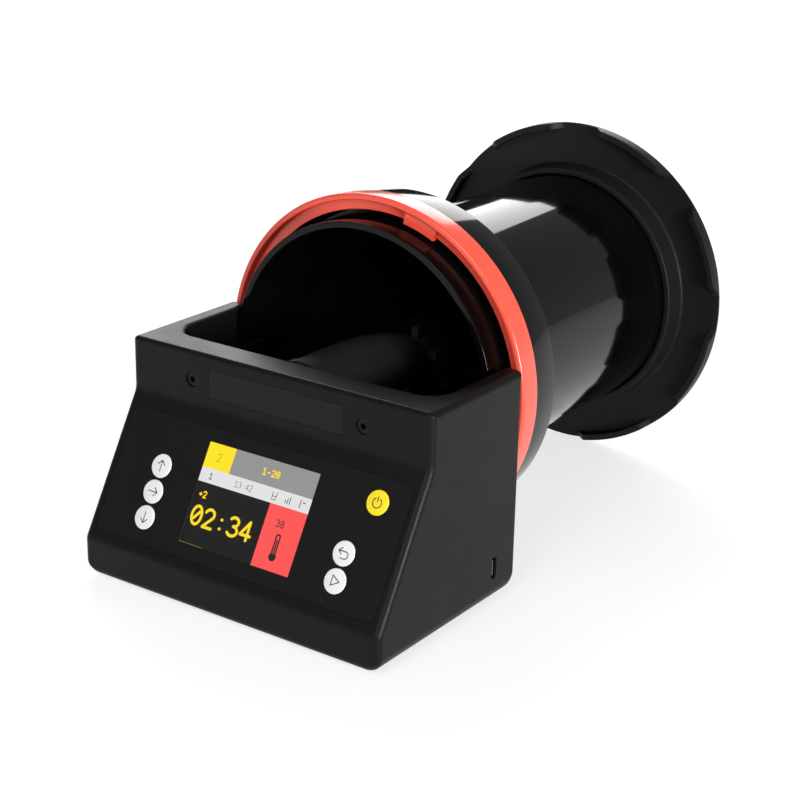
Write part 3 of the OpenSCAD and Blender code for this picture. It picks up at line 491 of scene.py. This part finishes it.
def recessTop(h):
    # the upper part of the recess: round front corners, and a rim that rolls over at the top
    roll = h["rimRound"]
    levels = [(axisZ - h["recessLap"], 0.0), (h["height"] - roll, 0.0)]
    for k in range(1, h["rimSteps"] + 1):
        t = math.radians(h["rimTurn"] * k / h["rimSteps"])
        levels.append((h["height"] - roll * (1 - math.sin(t)), roll * (1 - math.cos(t))))
    lastZ, lastGrow = levels[-1]
    levels.append((lastZ + h["rimRise"], lastGrow + h["rimRise"] * math.tan(math.radians(h["rimTurn"]))))
    rings = []
    for z, grow in levels:
        half = h["recessHalf"] + grow
        front = h["recessFront"] - grow
        radius = h["recessCorner"] + grow
        right = arcPoints((half - radius, front + radius), radius, 0, -90, h["recessSteps"])
        left = arcPoints((radius - half, front + radius), radius, -90, -180, h["recessSteps"])
        outline = [(half, h["pastBack"])] + right + left + [(-half, h["pastBack"])]
        rings.append([place(x, y, z) for x, y in outline])
    return loftMesh(rings)


# Panel, keys, plate and screws in the head's front; on the slope in mm across and up it
panelSizes = {
    "halfWidth": 59.5, "low": 3.9, "high": 48.9, "depth": 0.8, "corner": 2.5, "seat": 0.15,
    "screenHalf": 23.6, "screenLow": 8.9, "screenHigh": 44.3, "screenCorner": 0.95,
    "screenUnder": 1.35,  # the display reaches this far under the panel round the screen
    "leftX": -40.2, "rightX": 41.3, "rows": (12.85, 22.05, 31.25), "power": (47.6, 40.55),
    "keyway": 4.6, "through": (-4, 1),
    "plateHalf": 28.3, "plateLow": 65.2, "plateHigh": 75.4, "plateDepth": 0.52, "plateCorner": 0.4,
    "screwX": 36.1, "screwZ": 70.0, "screwHead": 2.5, "screwDepth": 3.2, "screwShank": 1.65,
    "screwBoss": 4.2, "screwBossRun": (28, 40),
    "boardX": 53.3, "boardRows": (6.2, 46.5), "boardBoss": 2.8, "boardBossRun": (-6.0, -1.2),
}
overrun = 1  # cutters run this far past what they open


def headHollow(h):
    wall = h["wall"]
    innerHalf = h["halfWidth"] - wall
    drop = wall * math.tan(slopeTurn / 2)
    back = h["depth"] - wall
    roof = h["height"] - wall
    face = h["upperFront"] + wall
    inner = roundCorners([
        (wall, -overrun, 0), (back, -overrun, 0), (back, roof, 0), (face, roof, 0),
        (face, h["slopeTop"] - drop, h["bend"] - wall), (wall, h["slopeFoot"] - drop, 0)])
    return prismMesh(inner, -innerHalf, innerHalf, alongX)


def headBosses(h, p):
    # what stands in the hollow: the recess's wall, the cover's posts and the bosses for screws
    radius = h["recessHalf"] + h["wall"]
    trough = arcPoints((0, axisZ), radius, 180, 360, 96) + [(radius, h["pastTop"]), (-radius, h["pastTop"])]
    bosses = [prismMesh(trough, h["recessFront"] - h["wall"], h["pastBack"], alongY)]
    for side in (-1, 1):
        screwBoss = circle(side * p["screwX"], p["screwZ"], p["screwBoss"])
        bosses.append(prismMesh(screwBoss, *p["screwBossRun"], alongY))
        for x, y, top in h["posts"]:
            bosses.append(prismMesh(circle(side * x, y, h["postRadius"]), h["postFoot"], top, place))
        for s in p["boardRows"]:
            boardBoss = circle(side * p["boardX"], s, p["boardBoss"])
            bosses.append(prismMesh(boardBoss, *p["boardBossRun"], onSlope))
    return bosses


def panelCuts(p):
    # the panel's seat in the slope, and the openings for the screen and the keys
    seat, under = p["seat"], p["screenUnder"]
    half = p["halfWidth"] + seat
    across = p["screenHalf"] + under
    panelSeat = roundedBox(-half, half, p["low"] - seat, p["high"] + seat, p["corner"] + seat)
    openings = [
        roundedBox(-across, across, p["screenLow"] - under, p["screenHigh"] + under, p["screenCorner"]),
        capsule(p["leftX"], p["rows"][0], p["rows"][2], p["keyway"]),
        capsule(p["rightX"], p["rows"][0], p["rows"][1], p["keyway"]),
        circle(*p["power"], p["keyway"])]
    cuts = [prismMesh(panelSeat, -p["depth"], 2 * overrun, onSlope)]
    return cuts + [prismMesh(outline, *p["through"], onSlope) for outline in openings]


def frontCuts(h, p):
    # the plate's seat and the two screw holes in the upper front
    face = h["upperFront"]
    ahead = face - 3 * overrun
    seat = p["seat"]
    half = p["plateHalf"] + seat
    plateSeat = roundedBox(-half, half, p["plateLow"] - seat, p["plateHigh"] + seat, p["plateCorner"])
    cuts = [prismMesh(plateSeat, ahead, face + p["plateDepth"], alongY)]
    for x in (-p["screwX"], p["screwX"]):
        headHole = circle(x, p["screwZ"], p["screwHead"] + seat)
        shankHole = circle(x, p["screwZ"], p["screwShank"], 32)
        cuts.append(prismMesh(headHole, ahead, face + p["screwDepth"], alongY))
        cuts.append(prismMesh(shankHole, face + overrun, h["recessFront"] + overrun, alongY))
    return cuts


def recessHoles(h):
    # holes for the motor and the probe in the recess's front wall, and the charging slot in the right side
    run = (h["recessFront"] - 5 * overrun, h["recessFront"] + overrun)
    slot = capsule(h["slotY"], h["slotLow"], h["slotHigh"], h["slotRadius"], 16)
    return [
        prismMesh(circle(0, axisZ, h["motorHole"], 96), *run, alongY),
        prismMesh(circle(0, axisZ - h["probeDrop"], h["probeHole"]), *run, alongY),
        prismMesh(slot, h["halfWidth"] - h["wall"] - overrun, h["halfWidth"] + overrun, alongX)]


def makeHead(h, p):
    head = addMesh("head_moulding", *loftHead(h), finishes["abs_spark_eroded"], None)
    hollow = addMesh("hollow", *headHollow(h), head.data.materials[0], None)
    carve(hollow, headBosses(h, p))
    hollowVerts = [v.co.copy() for v in hollow.data.vertices]
    hollowFaces = [tuple(f.vertices) for f in hollow.data.polygons]
    bowl = arcPoints((0, axisZ), h["recessHalf"], 180, 360, 128)
    recess = [prismMesh(bowl, h["recessFront"], h["pastBack"], alongY), recessTop(h)]
    cuts = recess + panelCuts(p) + frontCuts(h, p) + recessHoles(h)
    carve(head, [(hollowVerts, hollowFaces)] + cuts)
    bpy.data.objects.remove(hollow)
    meldPoints(head)
    smoothMesh(head.data, h["sharp"])
    weigh = head.modifiers.new("evenNormals", "WEIGHTED_NORMAL")
    weigh.keep_sharp = True
    weigh.weight = h["normalWeight"]
    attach(head, "head")
    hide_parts("housing")


makeHead(headSizes, panelSizes)
print("head moulding carved")


# Tip of the charging socket's tongue, the thin grey line in the slot
tongueSizes = {"y": (65.95, 66.35), "z": (10.7, 16.3), "x": (62.1, 62.8), "corner": 0.15}


def makeTongue(t):
    tip = prismMesh(roundedBox(*t["y"], *t["z"], t["corner"]), *t["x"], alongX)
    tongue = addMesh("socket_tongue", *tip, finishes["nylon_grey"], "head")


makeTongue(tongueSizes)
print("socket tongue placed")


# Tank, funnel and ring, turned about the tank's axis; outlines are (radius, y, rounding)
tankSizes = {
    "shell": [
        (0, 219.5, 0), (46.8, 219.5, 1.5), (46.8, 106.7, 0.8), (60.5, 106.7, 1.4), (62.0, 91.3, 0.45),
        (60.8, 91.3, 0), (60.8, 89.8, 0), (61.3, 89.8, 0), (61.3, 88.6, 0), (60.8, 88.6, 0),
        (60.8, 87.0, 0.4), (58.2, 87.0, 0.4), (58.2, 104.3, 0.5), (44.6, 104.3, 0.5), (44.6, 217.1, 1.0),
        (9.9, 217.1, 0.5), (9.9, 212.1, 0.8), (0, 212.1, 0)],
    "funnel": [
        (52.6, 73.4, 0.35), (52.6, 100.7, 4), (42.0, 101.5, 2), (18.0, 122.9, 2), (18.0, 132.9, 0.6),
        (20.5, 132.9, 0.6), (20.5, 124.15, 2), (42.6, 104.0, 2), (55.1, 103.2, 6.5), (55.1, 73.4, 0.35)],
    "ring": [
        (61.1, 84.8, 0.2), (57.3, 84.8, 0.3), (57.3, 83.8, 0.3), (61.1, 83.8, 0.4), (61.1, 80.8, 0.5),
        (63.5, 80.8, 1.1), (62.7, 91.0, 0.5), (61.1, 91.0, 0.2), (61.1, 90.1, 0), (61.6, 90.1, 0),
        (61.6, 88.3, 0), (61.1, 88.3, 0)],
    # rims and lugs are inner and outer radius, front and back
    "rims": [(54.2, 57.1, 91.8, 92.6), (54.2, 57.1, 95.6, 96.4)], "rimSoft": 0.2, "rimSteps": 192,
    "funnelLug": (54.2, 57.0, 85.1, 86.7), "ringLug": (56.2, 61.6, 82.3, 84.8), "lugSoft": 0.25,
    "lugAngles": (71.5, 191.5, 311.5), "lugSpan": 13, "lugSteps": 16, "steps": 320, "sharp": 35,
}


def lugMeshes(t, size):
    half = t["lugSpan"] / 2
    outline = roundedBox(*size, t["lugSoft"], 3)
    return [spinMesh(outline, t["lugSteps"], a - half, a + half) for a in t["lugAngles"]]


def finishSpin(piece, node):
    meldPoints(piece)
    smoothMesh(piece.data, tankSizes["sharp"])
    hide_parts(node)


def makeTank(t):
    shell = spinMesh(roundCorners(t["shell"], 8), t["steps"])
    tank = addMesh("tank_shell", *shell, finishes["abs_polished"], "tank")
    finishSpin(tank, "tank_body")


def makeFunnel(t):
    parts = [spinMesh(roundCorners(t["funnel"], 10), t["steps"])]
    parts += [spinMesh(roundedBox(*rim, t["rimSoft"], 3), t["rimSteps"]) for rim in t["rims"]]
    parts += lugMeshes(t, t["funnelLug"])
    funnel = addMesh("tank_funnel", *joinMeshes(parts), finishes["abs_polished"], "tank")
    finishSpin(funnel, "funnel")


def makeRing(t):
    parts = [spinMesh(roundCorners(t["ring"], 8), t["steps"])] + lugMeshes(t, t["ringLug"])
    ring = addMesh("bayonet_ring", *joinMeshes(parts), finishes["abs_coral_red"], "lock_ring")
    finishSpin(ring, "lock_ring")


makeTank(tankSizes)
makeFunnel(tankSizes)
makeRing(tankSizes)
print("tank, funnel and ring turned")


# Cap: a disc with a hub round the tank's foot, a lip in eight stretches and a shallow dish at the back
capSizes = {
    "radius": 66.4, "front": 219.8, "rim": 221.2, "back": 222.3, "lip": 4.3, "lipWall": 2.6, "notches": 8,
    "notch": 14.5, "notchLip": 0.06, "ramp": 4.8, "ease": 0.3, "lipSoft": 0.35, "lipShare": 0.4,
    "hub": 47.0, "hubWall": 2.4, "hubHeight": 7.6, "dish": 0.8, "dishRadius": 46.8, "steps": 720,
}


def lipHeight(c, angle):
    # full height along a lip, falling to the rim in each notch, with a short ease at both ends
    pitch = 360 / c["notches"]
    off = abs((angle + pitch / 2) % pitch - pitch / 2)
    run = (math.radians(off) * c["radius"] - c["notch"] / 2) / c["ramp"]
    run = min(max(run, 0.0), 1.0)
    rise = (1 - c["ease"]) * run + c["ease"] * run * run * (3 - 2 * run)
    return c["notchLip"] + (c["lip"] - c["notchLip"]) * rise


def capOutline(c, angle):
    height = lipHeight(c, angle)
    soft = min(c["lipSoft"], height * c["lipShare"])
    top = c["rim"] - height
    inside = c["radius"] - c["lipWall"]
    hubTop = c["front"] - c["hubHeight"]
    outer = c["hub"] + c["hubWall"]
    floor = c["back"] - c["dish"]
    return roundCorners([
        (0, c["front"], 0), (c["hub"], c["front"], 0.4), (c["hub"], hubTop, 0.5), (outer, hubTop, 0.7),
        (outer + c["dish"], c["rim"], 1.2), (inside, c["rim"], soft), (inside, top, soft),
        (c["radius"], top, soft), (c["radius"], c["back"], 0.4), (c["dishRadius"], c["back"], 0.4),
        (c["dishRadius"] - c["dish"], floor, 0.4), (0, floor, 0)], 5)


def makeCap(c):
    disc = spinMesh(lambda angle: capOutline(c, angle), c["steps"])
    cap = addMesh("tank_cap", *disc, finishes["polypropylene_satin"], "cap")
    finishSpin(cap, "rear_cap")


makeCap(capSizes)
print("cap turned")


# Buttons: low caps with a softened edge, and a bar under the panel that keeps them in
buttonSizes = {
    "radius": 4.2, "edge": 0.4, "proud": 0.25, "foot": -3.4, "steps": 72,
    "barHalf": (5.7, 2.8), "barTop": -2.7, "stroke": 0.34, "inkLift": 0.012,
}
lowRow, midRow, highRow = panelSizes["rows"]
buttonPlaces = {
    "button_up": (panelSizes["leftX"], highRow), "button_right": (panelSizes["leftX"], midRow),
    "button_down": (panelSizes["leftX"], lowRow), "button_power": panelSizes["power"],
    "button_back": (panelSizes["rightX"], midRow), "button_start": (panelSizes["rightX"], lowRow),
}
# pad-printed symbols as strokes in mm from the button's middle
symbolStrokes = {
    "button_up": [[(0, -1.9), (0, 1.9)], [(-1.45, 0.5), (0, 1.95), (1.45, 0.5)]],
    "button_right": [[(-1.9, 0), (1.9, 0)], [(0.5, -1.45), (1.95, 0), (0.5, 1.45)]],
    "button_down": [[(0, 1.9), (0, -1.9)], [(-1.45, -0.5), (0, -1.95), (1.45, -0.5)]],
    "button_power": [arcPoints((0, -0.15), 1.65, 58, -238, 28), [(0, 0.2), (0, 1.9)]],
    "button_back": [
        [(-1.9, 0.65), (0.75, 0.65)] + arcPoints((0.75, -0.55), 1.2, 90, -90, 14) + [(-0.9, -1.75)],
        [(-0.75, 1.8), (-1.95, 0.65), (-0.75, -0.5)]],
    "button_start": [[(-1.15, -1.7), (-1.15, 1.7), (1.75, 0), (-1.15, -1.7)]],
}


def strokeMesh(path, width, put):
    # a flat ribbon along the path, with round joints and ends
    verts, faces = [], []
    half = width / 2
    jointSteps = 10
    tiny = 1e-9  # a shorter run is the same point twice
    for (ax, ay), (bx, by) in zip(path, path[1:]):
        run = Vector((bx - ax, by - ay))
        if run.length < tiny:
            continue
        side = Vector((-run.y, run.x)).normalized() * half
        base = len(verts)
        verts += [put(ax + side.x, ay + side.y), put(ax - side.x, ay - side.y),
                  put(bx - side.x, by - side.y), put(bx + side.x, by + side.y)]
        faces.append((base, base + 1, base + 2, base + 3))
    for ax, ay in path:
        base = len(verts)
        verts += [put(x, y) for x, y in circle(ax, ay, half, jointSteps)]
        faces.append(tuple(base + k for k in range(jointSteps)))
    return verts, faces


def buttonCap(x, s, b):
    radius, edge, top, foot = b["radius"], b["edge"], b["proud"], b["foot"]
    rim = arcPoints((radius - edge, top - edge), edge, 90, 0, 6)
    outline = [(0, top)] + rim + [(radius, foot), (0, foot)]
    size = len(outline)
    verts, faces = [], []
    for i in range(b["steps"]):
        t = 2 * math.pi * i / b["steps"]
        verts += [onSlope(x + r * math.cos(t), s + r * math.sin(t), n) for r, n in outline]
        here, after = i * size, (i + 1) % b["steps"] * size
        faces += [(here + k, here + k + 1, after + k + 1, after + k) for k in range(size - 1)]
    wide, tall = b["barHalf"]
    bar = prismMesh(roundedBox(x - wide, x + wide, s - tall, s + tall, 0), foot, b["barTop"], onSlope)
    return joinMeshes([(verts, faces), bar])


def makeButton(name, b):
    x, s = buttonPlaces[name]
    inkHeight = b["proud"] + b["inkLift"]
    tone = "yellow" if name == "button_power" else "white"
    cap = addMesh(name + "_cap", *buttonCap(x, s, b), finishes["polycarbonate_" + tone], name)
    finishSpin(cap, name)
    strokes = [strokeMesh(path, b["stroke"], lambda a, c: onSlope(x + a, s + c, inkHeight))
               for path in symbolStrokes[name]]
    symbol = addMesh(name + "_symbol", *joinMeshes(strokes), finishes["pad_print_ink"], name)


for buttonName in buttonPlaces:
    makeButton(buttonName, buttonSizes)
print("buttons made")


# Picture on the display: plain blocks, digits and small symbols, in mm across and up the slope
pictureSizes = {
    "glassHalf": 24.8, "glassRows": (7.7, 45.5), "glassRun": (-6.0, -1.55), "glassCorner": 0.8,
    "layer": -0.12, "step": 0.03, "figurePitch": 0.72,
    # colour, left, right, low, high
    "blocks": [
        ("glow_yellow", -23.4, -11.9, 35.4, 44.1), ("glow_grey", -11.9, 23.4, 35.4, 44.1),
        ("glow_white", -23.4, 23.4, 30.4, 35.4), ("glow_red", 7.9, 23.4, 9.1, 30.4),
        ("glow_rust", -23.4, -23.25, 9.1, 30.4), ("glow_mustard", -23.4, -13.0, 9.1, 9.2),
        ("glow_ink", -13.0, 7.9, 9.1, 9.2)],
    # colour, text, left, foot, height, width factor, stroke
    "words": [
        ("glow_mustard", "2", -18.6, 38.3, 2.7, 1.1, 0.26),
        ("glow_amber", "1-20", 1.0, 38.7, 2.1, 1.25, 0.48),
        ("glow_ink", "1", -19.4, 31.9, 2.0, 1.1, 0.28),
        ("glow_ink", "13:42", -8.4, 31.9, 2.0, 1.1, 0.16),
        ("glow_amber", "+2", -21.2, 25.3, 2.1, 1.15, 0.48),
        ("glow_amber", "02:34", -21.6, 16.0, 6.2, 1.2, 1.05),
        ("glow_ink", "38", 12.6, 23.6, 2.3, 1.1, 0.3)],
}


def bow(cx, cy, rx, ry, start, end, steps=14):
    return [(cx + rx * x, cy + ry * y) for x, y in arcPoints((0, 0), 1, start, end, steps)]


# figures as strokes in a cell 0.6 wide and 1 high
figureStrokes = {
    "0": [bow(0.3, 0.5, 0.27, 0.5, 0, 360, 28), [(0.17, 0.3), (0.43, 0.7)]],
    "1": [[(0.1, 0.8), (0.32, 1.0), (0.32, 0.0)], [(0.08, 0.0), (0.56, 0.0)]],
    "2": [bow(0.3, 0.73, 0.25, 0.27, 165, -35) + [(0.06, 0.0), (0.56, 0.0)]],
    "3": [bow(0.28, 0.76, 0.24, 0.24, 150, -90) + bow(0.28, 0.26, 0.28, 0.26, 90, -150)],
    "4": [[(0.42, 0.0), (0.42, 1.0), (0.03, 0.26), (0.58, 0.26)]],
    "8": [bow(0.3, 0.76, 0.22, 0.24, 0, 360, 24), bow(0.3, 0.26, 0.27, 0.26, 0, 360, 24)],
    ":": [[(0.29, 0.16), (0.31, 0.16)], [(0.29, 0.66), (0.31, 0.66)]],
    "+": [[(0.08, 0.45), (0.52, 0.45)], [(0.3, 0.22), (0.3, 0.68)]],
    "-": [[(0.12, 0.42), (0.48, 0.42)]],
}
# thermometer, beaker, bars and probe: place, stroke and paths in mm
iconStrokes = {
    "thermometer": (15.2, 12.9, 0.55, [
        [(-0.75, 1.9), (-0.75, 7.6)] + arcPoints((0, 7.6), 0.75, 180, 0, 10) + [(0.75, 1.9)],
        arcPoints((0, 0.9), 1.2, 125, 415, 26), [(0, 0.9), (0, 6.4)]]),
    "beaker": (8.6, 31.6, 0.22, [[(-0.9, 2.6), (-0.7, 0), (0.7, 0), (0.9, 2.6)], [(-0.8, 1.2), (0.8, 1.2)]]),
    "bars": (13.4, 31.7, 0.3, [[(0, 0), (0, 1.0)], [(0.9, 0), (0.9, 1.6)], [(1.8, 0), (1.8, 2.3)]]),
    "probe": (19.4, 31.6, 0.3, [[(0, 0), (0, 2.6)], [(0.9, 1.9), (1.9, 1.9)]]),
}
bulbSizes = {"lift": 0.9, "radius": 0.95, "steps": 24}  # the thermometer's filled end


def pictureLines(q):
    # every stroke of the figures and symbols as (colour, path, width)
    lines = []
    for glow, text, x, s, height, wide, width in q["words"]:
        for i, figure in enumerate(text):
            for path in figureStrokes[figure]:
                line = [(x + (a + q["figurePitch"] * i) * height * wide, s + c * height) for a, c in path]
                lines.append((glow, line, width))
    for x, s, width, paths in iconStrokes.values():
        lines += [("glow_ink", [(x + a, s + c) for a, c in path], width) for path in paths]
    return lines


def makePicture(q, bulb):
    outline = roundedBox(-q["glassHalf"], q["glassHalf"], *q["glassRows"], q["glassCorner"])
    glass = addMesh("display_glass", *prismMesh(outline, *q["glassRun"], onSlope), displayDark, "head")
    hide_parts("display")
    byGlow = {}
    for glow, x0, x1, s0, s1 in q["blocks"]:
        block = prismMesh(roundedBox(x0, x1, s0, s1, 0), q["layer"] - q["step"], q["layer"], onSlope)
        byGlow.setdefault(("block", glow), []).append(block)
    ink = q["layer"] + q["step"]
    for glow, line, width in pictureLines(q):
        stroke = strokeMesh(line, width, lambda a, c: onSlope(a, c, ink))
        byGlow.setdefault(("figures", glow), []).append(stroke)
    x, s = iconStrokes["thermometer"][:2]
    disc = [onSlope(a, c, ink) for a, c in circle(x, s + bulb["lift"], bulb["radius"], bulb["steps"])]
    byGlow[("figures", "glow_ink")].append((disc, [tuple(range(bulb["steps"]))]))
    for (kind, glow), parts in byGlow.items():
        piece = addMesh("display_" + kind + "_" + glow, *joinMeshes(parts), glows[glow], "head")


makePicture(pictureSizes, bulbSizes)
print("display picture drawn")


# Finishes for the CAD pieces that stay as they are
nodeFinishes = {
    "abs_spark_eroded": ["bottom_cover", "coupler"],
    # the motor housing's lighter grey is partly painted light for the shaded recess
    "nylon_filled_painted_light": ["motor_housing"],
    "polyester_film": ["control_panel"],
    "polyester_plate": ["name_plate"],
    "steel_blackened": ["front_screws", "usb_socket"],
    "nylon_dark": ["key_switches", "drive_dog"],
    "nitrile_rubber": ["motor_gasket", "shaft_seal", "coupler_gasket", "rubber_feet", "tank_seal"],
    "steel_turned": ["board_screws", "motor", "gearbox", "spindle", "coupler_screws", "temperature_probe",
                     "probe_nut", "cover_screws"],
    "bronze_sintered": ["spindle_bush"],
    "board_lacquer": ["panel_board", "power_board"],
    "shrink_sleeve": ["battery_cells"],
    "ribbon_vinyl": ["ribbon_cable"],
    "abs_polished": ["centre_column", "column_clip"],
    "polypropylene_white": ["reel_a_core", "reel_a_half", "reel_b_core", "reel_b_half"],
}


def dressNode(name, material):
    piece = nodes[name]
    piece.data.materials.clear()
    piece.data.materials.append(material)


for finishName, members in nodeFinishes.items():
    for nodeName in members:
        dressNode(nodeName, finishes[finishName])
dressNode("screen_window", acrylicClear)
print("CAD pieces dressed")


# Studio: pale floor, two softboxes behind on the left, a small key light at the right, a weak fill in front,
# and a dark sheet seen only in gloss.
# Lamps are name, place in mm, width and height in metres, watts; other sizes are in metres.
studioLook = {
    "floor": "#B4B4B4", "floorGlow": 0.68, "floorRough": 0.9, "floorSize": 24, "floorDrop": 0.0002,
    "horizon": 0.50, "zenith": 0.20, "zenithFrom": 0.8,
    # the sheet seen only in gloss, a painted dark reflection: its turn in degrees and its sizes in metres
    "reflectionSheetTurn": 128, "reflectionSheetNear": 1.55, "reflectionSheetFar": 2.26, "reflectionSheetLift": 0.002, "reflectionSheetHeight": 0.52,
    "reflectionSheetWidth": 1.9, "aim": (0, 0, 0.06),
    "lamps": [
        ("softboxBack", (-1086, 1410, 820), 1.574, 0.756, 18.0),
        ("softboxTop", (-926, 1085, 1370), 0.877, 0.534, 8.8),
        ("keyRight", (1200, -450, 230), 0.36, 0.36, 17.0),
        ("fillFront", (150, -1150, 900), 0.70, 0.70, 6.5)],
}


def makeFloor(look):
    bpy.ops.mesh.primitive_plane_add(size=look["floorSize"], location=(0, 0, -look["floorDrop"]))
    floor = bpy.context.object
    floor.name = "floor"
    material = newMaterial("paper_white", {
        "Base Color": linear(look["floor"]), "Roughness": look["floorRough"], "Specular IOR Level": 0.0,
        "Emission Color": (1, 1, 1, 1)})
    tree = material.node_tree
    shader = tree.nodes["Principled BSDF"]
    # the paper's own white is there for the eye, for gloss and for glass, and lights nothing else
    path = addNode(tree, "ShaderNodeLightPath", {})
    shiny = addNode(tree, "ShaderNodeMath", {
        0: path.outputs["Is Glossy Ray"], 1: path.outputs["Is Transmission Ray"]}, operation="MAXIMUM")
    seen = addNode(tree, "ShaderNodeMath", {
        0: path.outputs["Is Camera Ray"], 1: shiny.outputs[0]}, operation="MAXIMUM")
    glow = addNode(tree, "ShaderNodeMath", {0: seen.outputs[0], 1: look["floorGlow"]}, operation="MULTIPLY")
    tree.links.new(glow.outputs[0], shader.inputs["Emission Strength"])
    floor.data.materials.append(material)


def makePaintedReflectionSheet(look):
    # a black sheet far behind, flat and then upright, seen only in gloss: a painted dark reflection that
    # keeps dark edges on the gloss against the floor; the eye, diffuse light and shadows pass through it
    turn = math.radians(look["reflectionSheetTurn"])
    outward = Vector((math.cos(turn), math.sin(turn), 0))
    across = Vector((-outward.y, outward.x, 0)) * (look["reflectionSheetWidth"] / 2)
    rise = Vector((0, 0, look["reflectionSheetLift"]))
    top = Vector((0, 0, look["reflectionSheetHeight"]))
    far = outward * look["reflectionSheetFar"]
    spine = [outward * look["reflectionSheetNear"] + rise, far + rise, far + top]
    verts = [p + side for p in spine for side in (-across, across)]
    paintedReflectionSheet = addMesh("paintedReflectionSheet", verts, [(0, 1, 3, 2), (2, 3, 5, 4)], finishes["nitrile_rubber"], None)
    paintedReflectionSheet.visible_camera = False
    paintedReflectionSheet.visible_diffuse = False
    paintedReflectionSheet.visible_shadow = False


def makeRoom(look):
    world = bpy.data.worlds.new("dimRoom")
    bpy.context.scene.world = world
    world.use_nodes = True
    tree = world.node_tree
    spot = addNode(tree, "ShaderNodeTexCoord", {}).outputs["Generated"]
    height = addNode(tree, "ShaderNodeSeparateXYZ", {0: spot}).outputs["Z"]
    level = addNode(tree, "ShaderNodeMapRange", {
        0: height, 1: 0.0, 2: look["zenithFrom"], 3: look["horizon"], 4: look["zenith"]})
    room = tree.nodes["Background"]
    room.inputs["Color"].default_value = (1, 1, 1, 1)
    tree.links.new(level.outputs[0], room.inputs["Strength"])


def makeLamps(look):
    aim = Vector(look["aim"])
    for name, spot, width, height, power in look["lamps"]:
        data = bpy.data.lights.new(name, "AREA")
        data.shape = "RECTANGLE"
        data.size = width
        data.size_y = height
        data.energy = power
        lamp = bpy.data.objects.new(name, data)
        lamp.location = Vector(spot) / 1000
        lamp.rotation_euler = (aim - lamp.location).to_track_quat("-Z", "Y").to_euler()
        bpy.context.scene.collection.objects.link(lamp)


bpy.context.scene.view_settings.view_transform = "Standard"
makeFloor(studioLook)
makePaintedReflectionSheet(studioLook)
makeRoom(studioLook)
makeLamps(studioLook)
print("studio lit")
